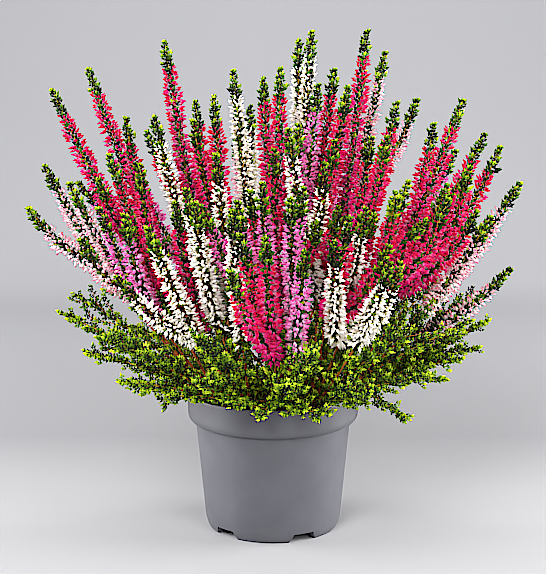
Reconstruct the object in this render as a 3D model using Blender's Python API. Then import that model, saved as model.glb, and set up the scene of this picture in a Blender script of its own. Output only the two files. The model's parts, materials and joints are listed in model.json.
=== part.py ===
"""Potted heather in a grey nursery pot: the CAD source of every solid.

Lengths are in millimetres until a mesh is made, which scales them to metres. +Z is up and the
photo is taken from -Y. The origin is the centre of the pot's foot plane.
"""

import math
import random

import bmesh
import bpy
import numpy as np

MM = 0.001
SEED = 20

# Pot
POT_H = 98.0
RIM_R = 60.3
WALL = 1.3
FOOT_R = 45.0
SIDE_LOW_R, SIDE_LOW_Z = 48.0, 8.0
INNER_LOW_R = SIDE_LOW_R - WALL - 0.6
SIDE_TOP_R, SIDE_TOP_Z = 54.5, 76.5
COLLAR_R, COLLAR_Z = 60.0, 83.0
LIP_T = 1.8
FLOOR_Z = 6.5
FLOOR_T = 1.5
FOOT_RING = 4.5
POT_STEPS = 35
FEET = 5
FOOT_SPAN = 47.0
FRONT_FOOT = -99.0
NOTCH_H = 6.0
NOTCH_SLOPE = 2.5
DRAIN_R = 4.0
DRAIN_AT = 30.0
DRAIN_SIDES = 10

# Compost
GAP = 0.35
SOIL_Z = 90.0
SOIL_MOUND = 2.0
SOIL_LUMP = 1.1
SOIL_COLS = 20
SOIL_RINGS = (14.0, 26.0, 37.0, 47.0)

# Woody crowns, stems and the bores that they pass through
STUMP_R = 4.6
STUMP_LOW, STUMP_TOP = 76.0, 93.5
STUMP_SIDES = 6
STEM_R = 1.05
STEM_BASE_R = 1.5
BORE_R = STEM_R + 2 * GAP
STEM_START_Z = 91.0
STEM_SPREAD = 2.6
BARE_LEAST = 28.0
LEAFY_FROM = 0.35
FORK_RISE = 5.0
FORK_BARE = 3.0

# Where a stem's one bend lies, as shares of its run outwards and upwards
SPIKE_BEND = (0.62, 0.62, 0.42)
FORK_BEND = (0.72, 0.72, 0.42)
SPRIG_BEND = (0.5, 0.5, 0.5)
SPRIG_ARCH = 9.0

# Flower spikes
TIP_LEN = 21.0
FLORET_R = 7.8
FLORET_TOP_R = 6.4
FLORET_VARY = (0.82, 1.1)
SLEEVE_END_R = 3.9
FLORET_PITCH = 9.0
FLORET_LIFT = 1.2
FLORET_TURN = math.radians(68)
BORE_STEP = 45.0

# The green tip above the florets: height above them, radius and upward sweep of each ring
TIP_TIERS = ((0.6, STEM_R, 0.0), (6.0, 3.1, 1.5), (11.5, 1.6, 0.0))
TIP_END_R = 0.5

# Leafy shoots
LEAF_PITCH = 25.0
LEAF_OUT = 7.0
LEAF_LIFT = 6.0
SPRIG_PITCH = 11.6
SPRIG_OUT = 11.0
SPRIG_LIFT = 7.0
SPRIG_END_OUT = 4.0
SPRIG_BARE = 0.3
SPRIG_ROOT_R, SPRIG_LINE_R, SPRIG_TIP_R = 1.3, 1.1, 0.7
SPRIG_TIP = 4.0

# How the stems are bent clear of each other
SAMPLES = 22
ROUNDS = 60
PUSH, STIFF, HOMING = 0.45, 0.35, 0.03
HOLD_RAMP = 4.0
ROOTED = 2
FORK_SOFT, FORK_ROOM = 25.0, 40.0
FORK_FAR = 0.3
CLEAR = 0.8
FLOWER_KEEP = 7.3
TIP_KEEP = 3.4
LEAFY_KEEP = 4.6
STEM_KEEP = 1.5
SPRIG_KEEP = 5.5
LOWEST = 103.0
OVER_RIM = 56.0

CRIMSON, PINK, WHITE, PALE = "crimson", "pink", "white", "pale"

# Each crown is one rooted cutting: its place in the soil, then its sprays. A spray is a colour and
# one to three spikes, each the place of the tip and the length of the stretch in flower.
CROWNS = {
    "crown_left_back": ((-20, 18), (
        (CRIMSON, ((-154, 20, 308, 95), (-118, -20, 250, 60))),
        (CRIMSON, ((-131, 40, 322, 105), (-102, 15, 289, 80))),
        (CRIMSON, ((-76, 30, 341, 110),)),
        (CRIMSON, ((-57, 70, 298, 88), (-93, 70, 276, 80))),
        (CRIMSON, ((-42, 40, 303, 95), (-55, 5, 288, 85))),
    )),
    "crown_left_pale": ((-38, 6), (
        (PALE, ((-160, 12, 256, 75), (-168, -10, 229, 72))),
        (PALE, ((-136, -35, 249, 75), (-126, -62, 215, 55))),
    )),
    "crown_left_front": ((-32, -14), (
        (CRIMSON, ((-111, -15, 266, 85), (-88, -40, 262, 85), (-96, -62, 230, 60))),
        (PINK, ((-115, -50, 234, 70), (-96, -75, 233, 70))),
        (CRIMSON, ((-64, -52, 238, 75), (-80, -72, 219, 60))),
    )),
    "crown_white_left": ((-15, -30), (
        (WHITE, ((-81, -5, 291, 100),)),
        (WHITE, ((-38, -35, 268, 90),)),
        (WHITE, ((-57, -60, 248, 80), (-49, -95, 243, 80))),
        (WHITE, ((-79, -100, 228, 75), (-100, -88, 195, 45))),
        (WHITE, ((-25, -115, 240, 82),)),
    )),
    "crown_pink_front": ((6, -36), (
        (PINK, ((-7, -72, 253, 85), (-23, -80, 242, 80), (-48, -50, 236, 65))),
        (PINK, ((20, -72, 250, 80), (11, -108, 247, 80))),
        (CRIMSON, ((-5, -148, 228, 88), (-26, -147, 208, 60), (-20, -118, 226, 70))),
        (PINK, ((19, -142, 219, 74),)),
    )),
    "crown_centre": ((-2, -6), (
        (CRIMSON, ((5, 10, 323, 105), (-7, 35, 316, 100))),
        (CRIMSON, ((1, -20, 270, 85), (-15, -50, 245, 75), (28, -78, 228, 70))),
        (PINK, ((31, 5, 312, 95), (17, -8, 286, 85))),
        (CRIMSON, ((42, -22, 276, 85), (43, -60, 236, 70))),
        (CRIMSON, ((43, 28, 322, 105), (51, -2, 311, 100))),
    )),
    "crown_white_back": ((4, 20), (
        (WHITE, ((-29, 65, 320, 100), (-17, 95, 293, 85))),
        (WHITE, ((27, 33, 348, 108), (18, 55, 342, 105))),
    )),
    "crown_white_right": ((26, -26), (
        (WHITE, ((34, -34, 262, 75), (10, -38, 285, 85))),
        (WHITE, ((58, -98, 240, 85), (37, -135, 224, 72))),
        (WHITE, ((72, -128, 210, 58), (80, -106, 207, 58))),
    )),
    "crown_right": ((24, -2), (
        (CRIMSON, ((66, 38, 348, 110),)),
        (CRIMSON, ((87, 25, 299, 95),)),
        (CRIMSON, ((133, 20, 301, 98), (115, 45, 283, 90))),
        (CRIMSON, ((145, -5, 279, 90), (153, -22, 272, 85), (128, -60, 262, 80))),
        (CRIMSON, ((89, -52, 252, 80), (78, -80, 248, 75), (95, -110, 234, 75))),
        (CRIMSON, ((129, -20, 249, 75), (115, -45, 249, 75), (130, -82, 236, 75))),
        (CRIMSON, ((67, -18, 278, 85), (75, -42, 280, 85), (66, -70, 232, 60))),
        (CRIMSON, ((47, -116, 236, 70), (74, -98, 216, 55), (110, -100, 246, 80))),
    )),
    "crown_right_pale": ((42, 2), (
        (PALE, ((171, 0, 245, 85),)),
        (PALE, ((144, -50, 228, 62),)),
        (PALE, ((164, -15, 187, 60),)),
    )),
    "crown_back": ((6, 42), (
        (PALE, ((81, 58, 333, 105), (105, 60, 299, 90))),
        (PINK, ((-112, 82, 258, 75), (-142, 50, 240, 70))),
        (PINK, ((-74, 112, 262, 75), (-62, 142, 232, 65))),
        (PALE, ((-30, 128, 270, 80), (-2, 152, 238, 68))),
        (PINK, ((55, 98, 300, 85), (22, 110, 292, 85), (48, 142, 240, 70))),
        (CRIMSON, ((92, 100, 270, 78),)),
        (PINK, ((134, 62, 262, 75),)),
    )),
}

# The leafy skirt: rings of sprigs by count, reach, height of the tips and first bearing, then the
# single ones that hang over the rim, and those that fill it out low on the right.
SKIRT_RINGS = (
    (13, 149, 163, 3.0),
    (14, 130, 130, 16.0),
    (13, 103, 109, 5.0),
)
SKIRT_JITTER = (5.0, 5.0, 6.0)
SKIRT_ROOT_REACH = 44.0
HANGING = ((98, -6, 77), (-83, -8, 88), (-10, -88, 100), (38, -84, 101))
LOW_RIGHT = ((152, -12, 150), (144, -25, 134), (130, -40, 129), (120, -30, 112))

MATERIALS = {
    "pot_plastic": ((0.18, 0.18, 0.20), 0.45),
    "compost": ((0.045, 0.022, 0.012), 0.95),
    "heather_green": ((0.09, 0.19, 0.02), 0.6),
    "flower_crimson": ((0.62, 0.01, 0.08), 0.55),
    "flower_pink": ((0.75, 0.12, 0.32), 0.55),
    "flower_white": ((0.85, 0.78, 0.68), 0.55),
    "flower_pale": ((0.85, 0.45, 0.52), 0.55),
}


def clear_scene():
    for obj in list(bpy.data.objects):
        bpy.data.objects.remove(obj, do_unlink=True)


def material(name):
    """The named Principled material, made at its first use."""
    made = bpy.data.materials.get(name)
    if made is None:
        colour, roughness = MATERIALS[name]
        made = bpy.data.materials.new(name)
        made.use_nodes = True
        shader = made.node_tree.nodes["Principled BSDF"]
        shader.inputs["Base Color"].default_value = (*colour, 1.0)
        shader.inputs["Roughness"].default_value = roughness
        shader.inputs["Metallic"].default_value = 0.0
        made.diffuse_color = (*colour, 1.0)
    return made


def make_object(name, points, faces, material_name):
    """A mesh object from points in millimetres, with its faces turned outwards."""
    mesh = bpy.data.meshes.new(name)
    mesh.from_pydata([tuple(float(c) * MM for c in p) for p in points], [], faces)
    work = bmesh.new()
    work.from_mesh(mesh)
    bmesh.ops.recalc_face_normals(work, faces=work.faces)
    work.to_mesh(mesh)
    work.free()
    mesh.materials.append(material(material_name))
    obj = bpy.data.objects.new(name, mesh)
    bpy.context.scene.collection.objects.link(obj)
    return obj


def boolean(target, operation, others, solver="MANIFOLD"):
    """Joins the other objects to the target, or cuts them from it, applies that and removes them."""
    if not others:
        return
    group = bpy.data.collections.new(target.name + "_" + operation.lower())
    bpy.context.scene.collection.children.link(group)
    for other in others:
        bpy.context.scene.collection.objects.unlink(other)
        group.objects.link(other)
    modifier = target.modifiers.new(operation.title(), "BOOLEAN")
    modifier.operation = operation
    modifier.operand_type = "COLLECTION"
    modifier.collection = group
    modifier.solver = solver
    bpy.context.view_layer.update()
    graph = bpy.context.evaluated_depsgraph_get()
    result = bpy.data.meshes.new_from_object(target.evaluated_get(graph))
    old = target.data
    target.modifiers.clear()
    target.data = result
    bpy.data.meshes.remove(old)
    for other in others:
        bpy.data.objects.remove(other, do_unlink=True)
    bpy.data.collections.remove(group)


def ring_faces(low, high, staggered):
    """Triangles between two rings of one count. Staggered, each upper point is between two lower."""
    count = len(low)
    faces = []
    for i in range(count):
        j = (i + 1) % count
        if staggered:
            faces += [(low[i], low[j], high[i]), (low[j], high[j], high[i])]
        else:
            faces += [(low[i], low[j], high[j]), (low[i], high[j], high[i])]
    return faces


def round_ring(x, y, z, radius, sides):
    """A level ring of points round an upright line."""
    turns = [2 * math.pi * k / sides for k in range(sides)]
    return [(x + radius * math.cos(t), y + radius * math.sin(t), z) for t in turns]


def prism(name, rings, material_name, staggered=False):
    """A closed body from stacked rings of points, each ring a list of the same length."""
    points = [p for ring in rings for p in ring]
    count = len(rings[0])
    index = [list(range(k * count, (k + 1) * count)) for k in range(len(rings))]
    faces = [tuple(reversed(index[0])), tuple(index[-1])]
    for low, high in zip(index, index[1:]):
        faces += ring_faces(low, high, staggered)
    return make_object(name, points, faces, material_name)


class Path:
    """A stem's centre line, read by distance from its lower end, with a frame that doesn't twist."""

    def __init__(self, points):
        self.points = np.asarray(points, float)
        steps = np.linalg.norm(np.diff(self.points, axis=0), axis=1)
        self.arc = np.concatenate([[0.0], np.cumsum(steps)])
        self.length = float(self.arc[-1])
        slopes = np.gradient(self.points, self.arc, axis=0)
        self.slopes = slopes / np.linalg.norm(slopes, axis=1)[:, None]
        heading = self.points[-1] - self.points[0]
        heading[2] = 0.0
        if np.linalg.norm(heading) < 1.0:  # an upright stem turns its face to the front
            heading = np.array([0.0, -1.0, 0.0])
        heading /= np.linalg.norm(heading)
        self.side = np.array([-heading[1], heading[0], 0.0])

    def frame(self, s):
        """(position, side, up, along) at distance s, which may run a little past either end."""
        inside = min(max(s, 0.0), self.length)
        place = np.array([np.interp(inside, self.arc, self.points[:, k]) for k in range(3)])
        along = np.array([np.interp(inside, self.arc, self.slopes[:, k]) for k in range(3)])
        along /= np.linalg.norm(along)
        side = self.side - along * (self.side @ along)
        side /= np.linalg.norm(side)
        return place + along * (s - inside), side, np.cross(along, side), along

    def ring(self, s, radii, turn=0.0, lifts=None):
        """A ring of points round the path: a radius and a shift along it for each column."""
        place, side, up, along = self.frame(s)
        count = len(radii)
        points = []
        for k, radius in enumerate(radii):
            angle = turn + 2 * math.pi * k / count
            lift = lifts[k] if lifts else 0.0
            points.append(
                place + radius * (math.cos(angle) * side + math.sin(angle) * up) + lift * along
            )
        return points


def bezier(start, bend, end, count=SAMPLES):
    t = np.linspace(0.0, 1.0, count)[:, None]
    start, bend, end = (np.asarray(p, float) for p in (start, bend, end))
    return (1 - t) ** 2 * start + 2 * t * (1 - t) * bend + t**2 * end


def resample(points, count=SAMPLES):
    steps = np.linalg.norm(np.diff(points, axis=0), axis=1)
    arc = np.concatenate([[0.0], np.cumsum(steps)])
    at = np.linspace(0.0, arc[-1], count)
    return np.stack([np.interp(at, arc, points[:, k]) for k in range(3)], axis=1)


class Shoot:
    """One stem: a flower spike, a side spike that forks from another, or a leafy sprig."""

    def __init__(self, crown, start, tip, bloom=0.0, parent=None):
        self.crown = crown
        self.bloom = bloom
        self.parent = parent
        self.tip = np.array(tip, float)
        if parent is None:
            self.fork = None
            start = np.asarray(start, float)
            away = self.tip[:2] - start[:2]
            away /= max(np.linalg.norm(away), 1.0)
            base = np.array([*(start[:2] + away * STEM_SPREAD), STEM_START_Z])
        else:
            path = Path(parent.points)
            at = parent.bloom_start(path) + FORK_RISE
            self.fork = int(np.argmin(np.abs(path.arc - at)))
            base = parent.points[self.fork].copy()
        rise = self.tip - base
        if parent is not None:
            bend = base + rise * np.array(FORK_BEND)
        elif bloom:
            bend = base + rise * np.array(SPIKE_BEND)
        else:
            bend = base + rise * np.array(SPRIG_BEND) + np.array([0.0, 0.0, SPRIG_ARCH])
        self.points = resample(bezier(base, bend, self.tip))
        self.home = self.points.copy()

    def bloom_start(self, path):
        """Distance along the path at which the flowers begin."""
        if self.parent is not None:
            return FORK_BARE
        return max(path.length - TIP_LEN - self.bloom, BARE_LEAST)

    def keeps(self):
        """How far each sample has to stay from other shoots."""
        path = Path(self.points)
        along = path.arc
        keep = np.full(len(along), STEM_KEEP)
        if not self.bloom:
            keep[along > SPRIG_BARE * path.length] = SPRIG_KEEP
            return keep
        start = self.bloom_start(path)
        keep[(along > LEAFY_FROM * start) & (along < start)] = LEAFY_KEEP
        keep[along >= start] = FLOWER_KEEP
        keep[along > path.length - TIP_LEN] = TIP_KEEP
        return keep

    def in_flower(self):
        if not self.bloom:
            return np.zeros(len(self.points), bool)
        path = Path(self.points)
        return (path.arc >= self.bloom_start(path)) & (path.arc <= path.length - TIP_LEN)


def shoots_of_crowns():
    """Every flower spike, spray by spray: {(crown, number): (colour, [shoots])}."""
    sprays = {}
    for crown, (place, rows) in CROWNS.items():
        for number, (colour, spikes) in enumerate(rows, 1):
            shoots = []
            for x, y, z, bloom in spikes:
                parent = shoots[0] if shoots else None
                shoots.append(Shoot(crown, (*place, 0), (x, y, z), bloom, parent))
            sprays[crown, number] = (colour, shoots)
    return sprays


def shoots_of_skirt():
    """The leafy sprigs, each from the crown that stands nearest its own bearing."""
    draw = random.Random(SEED)
    tips = [*HANGING, *LOW_RIGHT]
    for count, reach, height, first in SKIRT_RINGS:
        for k in range(count):
            turn, out, lift = (draw.uniform(-j, j) for j in SKIRT_JITTER)
            bearing = math.radians(first + (360 * k + turn * 2) / count)
            far = reach + out
            tips.append((far * math.cos(bearing), far * math.sin(bearing), height + lift))
    shoots = []
    for tip in tips:
        reach = math.hypot(tip[0], tip[1])
        wanted = np.array(tip[:2]) * (SKIRT_ROOT_REACH / reach)
        crown = min(
            CROWNS, key=lambda name: float(np.linalg.norm(np.array(CROWNS[name][0]) - wanted))
        )
        shoots.append(Shoot(crown, (*CROWNS[crown][0], 0), tip))
    return shoots


def wanted_gaps(shoots):
    """The distance that each pair of samples has to keep, 0 where they may touch."""
    count = len(shoots)
    keep = np.concatenate([s.keeps() for s in shoots]).astype(np.float32)
    flower = np.concatenate([s.in_flower() for s in shoots])
    owner = np.repeat(np.arange(count), SAMPLES)
    names = list(CROWNS)
    crown = np.repeat([names.index(s.crown) for s in shoots], SAMPLES)
    need = keep[:, None] + keep[None, :] + CLEAR
    need[(crown[:, None] == crown[None, :]) & ~(flower[:, None] | flower[None, :])] = 0.0
    need[owner[:, None] == owner[None, :]] = 0.0
    for i, shoot in enumerate(shoots):
        if shoot.parent is None:
            continue
        own = soft_start(Path(shoot.points).arc)
        mine = slice(i * SAMPLES, (i + 1) * SAMPLES)
        for j, theirs in kin_of(shoot, shoots[:i]).items():
            other = slice(j * SAMPLES, (j + 1) * SAMPLES)
            both = np.minimum(own[:, None], theirs[None, :])
            need[mine, other] *= both
            need[other, mine] *= both.T
    return need


def kin_of(shoot, earlier):
    """The main spike that a side spike forks from and its earlier side spikes, softened at the fork."""
    main = Path(shoot.parent.points).arc
    kin = {}
    for j, other in enumerate(earlier):
        if other is shoot.parent:
            kin[j] = soft_start(main - main[shoot.fork])
        elif other.parent is shoot.parent:
            kin[j] = soft_start(Path(other.points).arc)
    return kin


def soft_start(arc):
    """0 at a fork and 1 where two spikes have had room to part."""
    return np.clip((arc - FORK_SOFT) / FORK_ROOM, 0.0, 1.0).astype(np.float32)


def pushes(points, need):
    """For each sample, how far its closest neighbours push it."""
    square = (points**2).sum(axis=1)
    far2 = square[:, None] + square[None, :] - 2 * points @ points.T
    first, second = np.nonzero(far2 < need * need)
    gap = points[first] - points[second]
    far = np.maximum(np.linalg.norm(gap, axis=1), FORK_FAR)
    move = gap * ((need[first, second] - far) / far).clip(0.0)[:, None]
    most = np.zeros_like(points)
    least = np.zeros_like(points)
    np.maximum.at(most, first, move)
    np.minimum.at(least, first, move)
    return most + least


def bend_clear(shoots):
    """Pushes the shoots apart until none runs through another, with their roots held."""
    hold = np.tile(np.clip(np.linspace(0.0, HOLD_RAMP, SAMPLES), 0.0, 1.0), len(shoots))[:, None]
    for turn in range(ROUNDS):
        if turn % 10 == 0:
            need = wanted_gaps(shoots)
        points = np.concatenate([s.points for s in shoots])
        points = points + PUSH * pushes(points, need) * hold
        for i, shoot in enumerate(shoots):
            line = points[i * SAMPLES : (i + 1) * SAMPLES]
            line[1:-1] += STIFF * ((line[:-2] + line[2:]) / 2 - line[1:-1])
            line[1:] += HOMING * (shoot.home[1:] - line[1:])
            reach = np.hypot(line[:, 0], line[:, 1])
            floor = LOWEST - np.clip((OVER_RIM - reach) / 2, 0.0, 8.0)
            inside = (reach < RIM_R + 6.0) & (np.arange(SAMPLES) > ROOTED)
            line[inside, 2] = np.maximum(line[inside, 2], floor[inside])
            shoot.points = line if shoot.parent else resample(line)
        for shoot in shoots:
            if shoot.parent is not None:
                shoot.points[0] = shoot.parent.points[shoot.fork]


def stem_stations(shoot, path):
    """Rings of a stem with side leaves, its bare run through the flowers and its leafy tip."""
    rings = []
    start = shoot.bloom_start(path)
    end = path.length - TIP_LEN
    if shoot.parent is None:
        leafy = LEAFY_FROM * start
        rings.append(path.ring(0.0, (STEM_BASE_R,) * 3))
        rings.append(path.ring(leafy, (STEM_R,) * 3))
        room = start - 3.0 - leafy
        count = max(int(room / LEAF_PITCH), 1)
        for k in range(count):
            s = leafy + room * (k + 0.5) / count
            radii = [STEM_R] * 3
            lifts = [0.0] * 3
            radii[k % 3] = LEAF_OUT
            lifts[k % 3] = LEAF_LIFT
            rings.append(path.ring(s, radii, lifts=lifts))
    else:
        rings.append(path.ring(0.0, (STEM_R,) * 3))
    for s in bore_stations(start, end)[:-1]:
        rings.append(path.ring(s, (STEM_R,) * 3))
    for rise, radius, lift in TIP_TIERS:
        rings.append(path.ring(end + rise, (radius,) * 3, lifts=(lift,) * 3))
    rings.append(path.ring(path.length - 1.0, (TIP_END_R,) * 3))
    return rings


def bore_stations(start, end):
    """Where the rings of a stem and of its bore lie, the same for both so that the gap is even."""
    count = max(int(round((end - start) / BORE_STEP)), 2)
    low = start - 1.0
    high = end + 1.0
    return [low + (high - low) * k / count for k in range(count + 1)]


def stump(crown):
    """The woody foot of a cutting, most of it in the soil."""
    x, y = CROWNS[crown][0]
    tiers = ((STUMP_LOW, 0.7), (STUMP_TOP - 3.0, 1.0), (STUMP_TOP, 0.75))
    rings = [round_ring(x, y, z, STUMP_R * scale, STUMP_SIDES) for z, scale in tiers]
    return prism(crown, rings, "heather_green")


def sprig(shoot):
    """A feathery leafy sprig: one line with its side shoots pulled out left and right."""
    path = Path(shoot.points)
    bare = SPRIG_BARE * path.length
    room = path.length - bare - SPRIG_TIP
    upright = math.pi / 2
    rings = [
        path.ring(0.0, (SPRIG_ROOT_R,) * 3, upright),
        path.ring(bare, (SPRIG_LINE_R,) * 3, upright),
    ]
    count = int(room / SPRIG_PITCH)
    for k in range(count):
        part = (k + 0.6) / count
        swell = math.sin(math.pi * min(0.25 + 0.75 * part, 1.0))
        out = SPRIG_END_OUT + (SPRIG_OUT - SPRIG_END_OUT) * swell
        radii = [SPRIG_LINE_R] * 3
        lifts = [0.0] * 3
        radii[1 + k % 2] = out
        lifts[1 + k % 2] = SPRIG_LIFT * out / SPRIG_OUT
        rings.append(path.ring(bare + room * part, radii, upright, lifts))
    rings.append(path.ring(path.length, (SPRIG_TIP_R,) * 3, upright))
    return prism("sprig", rings, "heather_green")


def green_crown(crown, sprays, skirt):
    """The cutting's stump with its stems, leafy tips and sprigs, fused into one body."""
    body = stump(crown)
    others = []
    for (owner, _), (_, shoots) in sprays.items():
        if owner == crown:
            for shoot in shoots:
                path = Path(shoot.points)
                others.append(prism("stem", stem_stations(shoot, path), "heather_green"))
    for shoot in skirt:
        if shoot.crown == crown:
            others.append(sprig(shoot))
    boolean(body, "UNION", others)
    return body


def sleeve(name, shoot, slot):
    """The florets round one spike as a closed tube in which every point is a floret's end."""
    path = Path(shoot.points)
    draw = random.Random(name + str(shoot.parent is None))
    start = shoot.bloom_start(path)
    end = path.length - TIP_LEN
    count = int(round((end - start) / FLORET_PITCH))
    rings = [path.ring(start, (SLEEVE_END_R,) * 3)]
    for k in range(1, count):
        part = k / count
        swell = min(1.0, 0.6 + 3.0 * part)
        out = swell * (FLORET_R + (FLORET_TOP_R - FLORET_R) * part**2)
        radii = [out * draw.uniform(*FLORET_VARY) for _ in range(3)]
        lifts = [draw.uniform(-FLORET_LIFT, FLORET_LIFT) for _ in range(3)]
        rings.append(path.ring(start + (end - start) * part, radii, k * FLORET_TURN, lifts))
    rings.append(path.ring(end, (SLEEVE_END_R,) * 3, turn=count * FLORET_TURN))
    return prism(name, rings, slot, staggered=True)


def bore(shoot):
    """What the stem passes through, with a gap round it."""
    path = Path(shoot.points)
    start = shoot.bloom_start(path)
    end = path.length - TIP_LEN
    stations = [-0.6] if shoot.parent is not None else []
    stations += bore_stations(start, end)
    rings = [path.ring(s, (BORE_R,) * 3) for s in stations]
    return prism("bore", rings, "heather_green")


def flower_spray(name, colour, shoots):
    """The florets of a spray: one sleeve for each spike, fused at the fork, with the bores cut."""
    slot = "flower_" + colour
    shells = [sleeve(name, shoot, slot) for shoot in shoots]
    body = shells[0]
    body.name = name
    boolean(body, "UNION", shells[1:], solver="EXACT")
    boolean(body, "DIFFERENCE", [bore(shoot) for shoot in shoots], solver="EXACT")
    return body


def pot_profile():
    """The pot's section, up the outside, over the rim, down the inside and back under the floor."""
    return [
        (FOOT_R, 0.0),
        (FOOT_R + 1.7, 1.2),
        (SIDE_LOW_R, SIDE_LOW_Z),
        (SIDE_TOP_R, SIDE_TOP_Z),
        (COLLAR_R, COLLAR_Z),
        (RIM_R, POT_H - 1.0),
        (RIM_R - 0.5, POT_H),
        (RIM_R - LIP_T, POT_H),
        (RIM_R - LIP_T - 0.2, POT_H - 1.5),
        (COLLAR_R - WALL - 0.1, COLLAR_Z + 0.6),
        (SIDE_TOP_R - WALL, SIDE_TOP_Z + 0.6),
        (INNER_LOW_R, FLOOR_Z + 3.0),
        (INNER_LOW_R - 2.5, FLOOR_Z),
        (0.0, FLOOR_Z),
        (0.0, FLOOR_Z - FLOOR_T),
        (FOOT_R - FOOT_RING, FLOOR_Z - FLOOR_T),
        (FOOT_R - FOOT_RING, 0.0),
    ]


def notch_cutter(bearing):
    """A sloped gap between two feet."""
    half = math.radians((360.0 / FEET - FOOT_SPAN) / 2)
    slope = NOTCH_SLOPE / FOOT_R
    rings = []
    for radius in (FOOT_R - FOOT_RING - 3.0, SIDE_LOW_R + 4.0):
        ring = []
        for turn, z in ((-half, -2.0), (half, -2.0), (half - slope, NOTCH_H), (-half + slope, NOTCH_H)):
            angle = math.radians(bearing) + turn
            ring.append((radius * math.cos(angle), radius * math.sin(angle), z))
        rings.append(ring)
    return prism("notch", rings, "pot_plastic")


def drain_cutter(bearing):
    """A round hole in the raised floor."""
    x = DRAIN_AT * math.cos(math.radians(bearing))
    y = DRAIN_AT * math.sin(math.radians(bearing))
    rings = [round_ring(x, y, z, DRAIN_R, DRAIN_SIDES) for z in (-1.0, FLOOR_Z + 2.0)]
    return prism("drain", rings, "pot_plastic")


def pot():
    """A profile turned round Z, with gaps between the feet and drain holes in the raised floor."""
    profile = pot_profile()
    mesh = bpy.data.meshes.new("pot")
    edges = [(k, k + 1) for k in range(len(profile) - 1)] + [(len(profile) - 1, 0)]
    mesh.from_pydata([(r * MM, 0.0, z * MM) for r, z in profile], edges, [])
    mesh.materials.append(material("pot_plastic"))
    obj = bpy.data.objects.new("pot", mesh)
    bpy.context.scene.collection.objects.link(obj)
    screw = obj.modifiers.new("Turn", "SCREW")
    screw.steps = POT_STEPS
    screw.render_steps = POT_STEPS
    screw.use_merge_vertices = True
    screw.merge_threshold = 1e-5
    screw.use_smooth_shade = True
    graph = bpy.context.evaluated_depsgraph_get()
    turned = bpy.data.meshes.new_from_object(obj.evaluated_get(graph))
    obj.modifiers.clear()
    obj.data = turned
    bpy.data.meshes.remove(mesh)
    work = bmesh.new()
    work.from_mesh(turned)
    bmesh.ops.remove_doubles(work, verts=work.verts, dist=1e-6)
    bmesh.ops.recalc_face_normals(work, faces=work.faces)
    work.to_mesh(turned)
    work.free()
    step = 360.0 / FEET
    cutters = [notch_cutter(FRONT_FOOT + step * (k + 0.5)) for k in range(FEET)]
    cutters += [drain_cutter(FRONT_FOOT + step * k) for k in range(FEET)]
    boolean(obj, "DIFFERENCE", cutters)
    return obj


def compost():
    """The soil plug, a little clear of the pot, lumpy and mounded on top, with a hole per stump."""
    draw = random.Random(SEED + 1)
    wall = (
        (INNER_LOW_R - 3.5, FLOOR_Z + GAP + 0.1),
        (INNER_LOW_R - 0.7, FLOOR_Z + 4.0),
        (SIDE_TOP_R - WALL - GAP - 0.4, SIDE_TOP_Z + 0.4),
        (COLLAR_R - WALL - GAP - 1.4, COLLAR_Z + 2.0),
        (RIM_R - LIP_T - GAP - 1.6, SOIL_Z - SOIL_MOUND),
    )
    rings = [round_ring(0.0, 0.0, z, radius, SOIL_COLS) for radius, z in wall]
    for radius in reversed(SOIL_RINGS):
        ring = []
        for k in range(SOIL_COLS):
            turn = 2 * math.pi * (k + draw.uniform(-0.25, 0.25)) / SOIL_COLS
            far = radius + draw.uniform(-1.5, 1.5)
            z = SOIL_Z - SOIL_MOUND * (radius / RIM_R) ** 2 + draw.uniform(-SOIL_LUMP, SOIL_LUMP)
            ring.append((far * math.cos(turn), far * math.sin(turn), z))
        rings.append(ring)
    body = prism("compost", rings, "compost")
    holes = []
    for (x, y), _ in CROWNS.values():
        ends = (STUMP_LOW - 2 * GAP, SOIL_Z + 6.0)
        hole = [round_ring(x, y, z, STUMP_R + 2 * GAP, STUMP_SIDES) for z in ends]
        holes.append(prism("hole", hole, "compost"))
    boolean(body, "DIFFERENCE", holes)
    return body


def main():
    clear_scene()
    pot()
    compost()
    sprays = shoots_of_crowns()
    skirt = shoots_of_skirt()
    everything = [shoot for _, shoots in sprays.values() for shoot in shoots] + skirt
    bend_clear(everything)
    for crown in CROWNS:
        green_crown(crown, sprays, skirt)
    for (crown, number), (colour, shoots) in sprays.items():
        name = "spray_" + crown.removeprefix("crown_") + "_" + str(number)
        flower_spray(name, colour, shoots)


main()
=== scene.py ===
"""Finished looks of the potted heather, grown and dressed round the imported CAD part.

The plant is grown here by the same rule as in the part's source, so that every fine piece stands
where its node does. Lengths are in millimetres until a mesh is made, which scales them to metres.
+Z is up and the photograph looks along +Y.
"""

from __future__ import annotations

import json
import logging
import math
import random
from collections.abc import Sequence
from dataclasses import dataclass, field, replace
from enum import Enum

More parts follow.
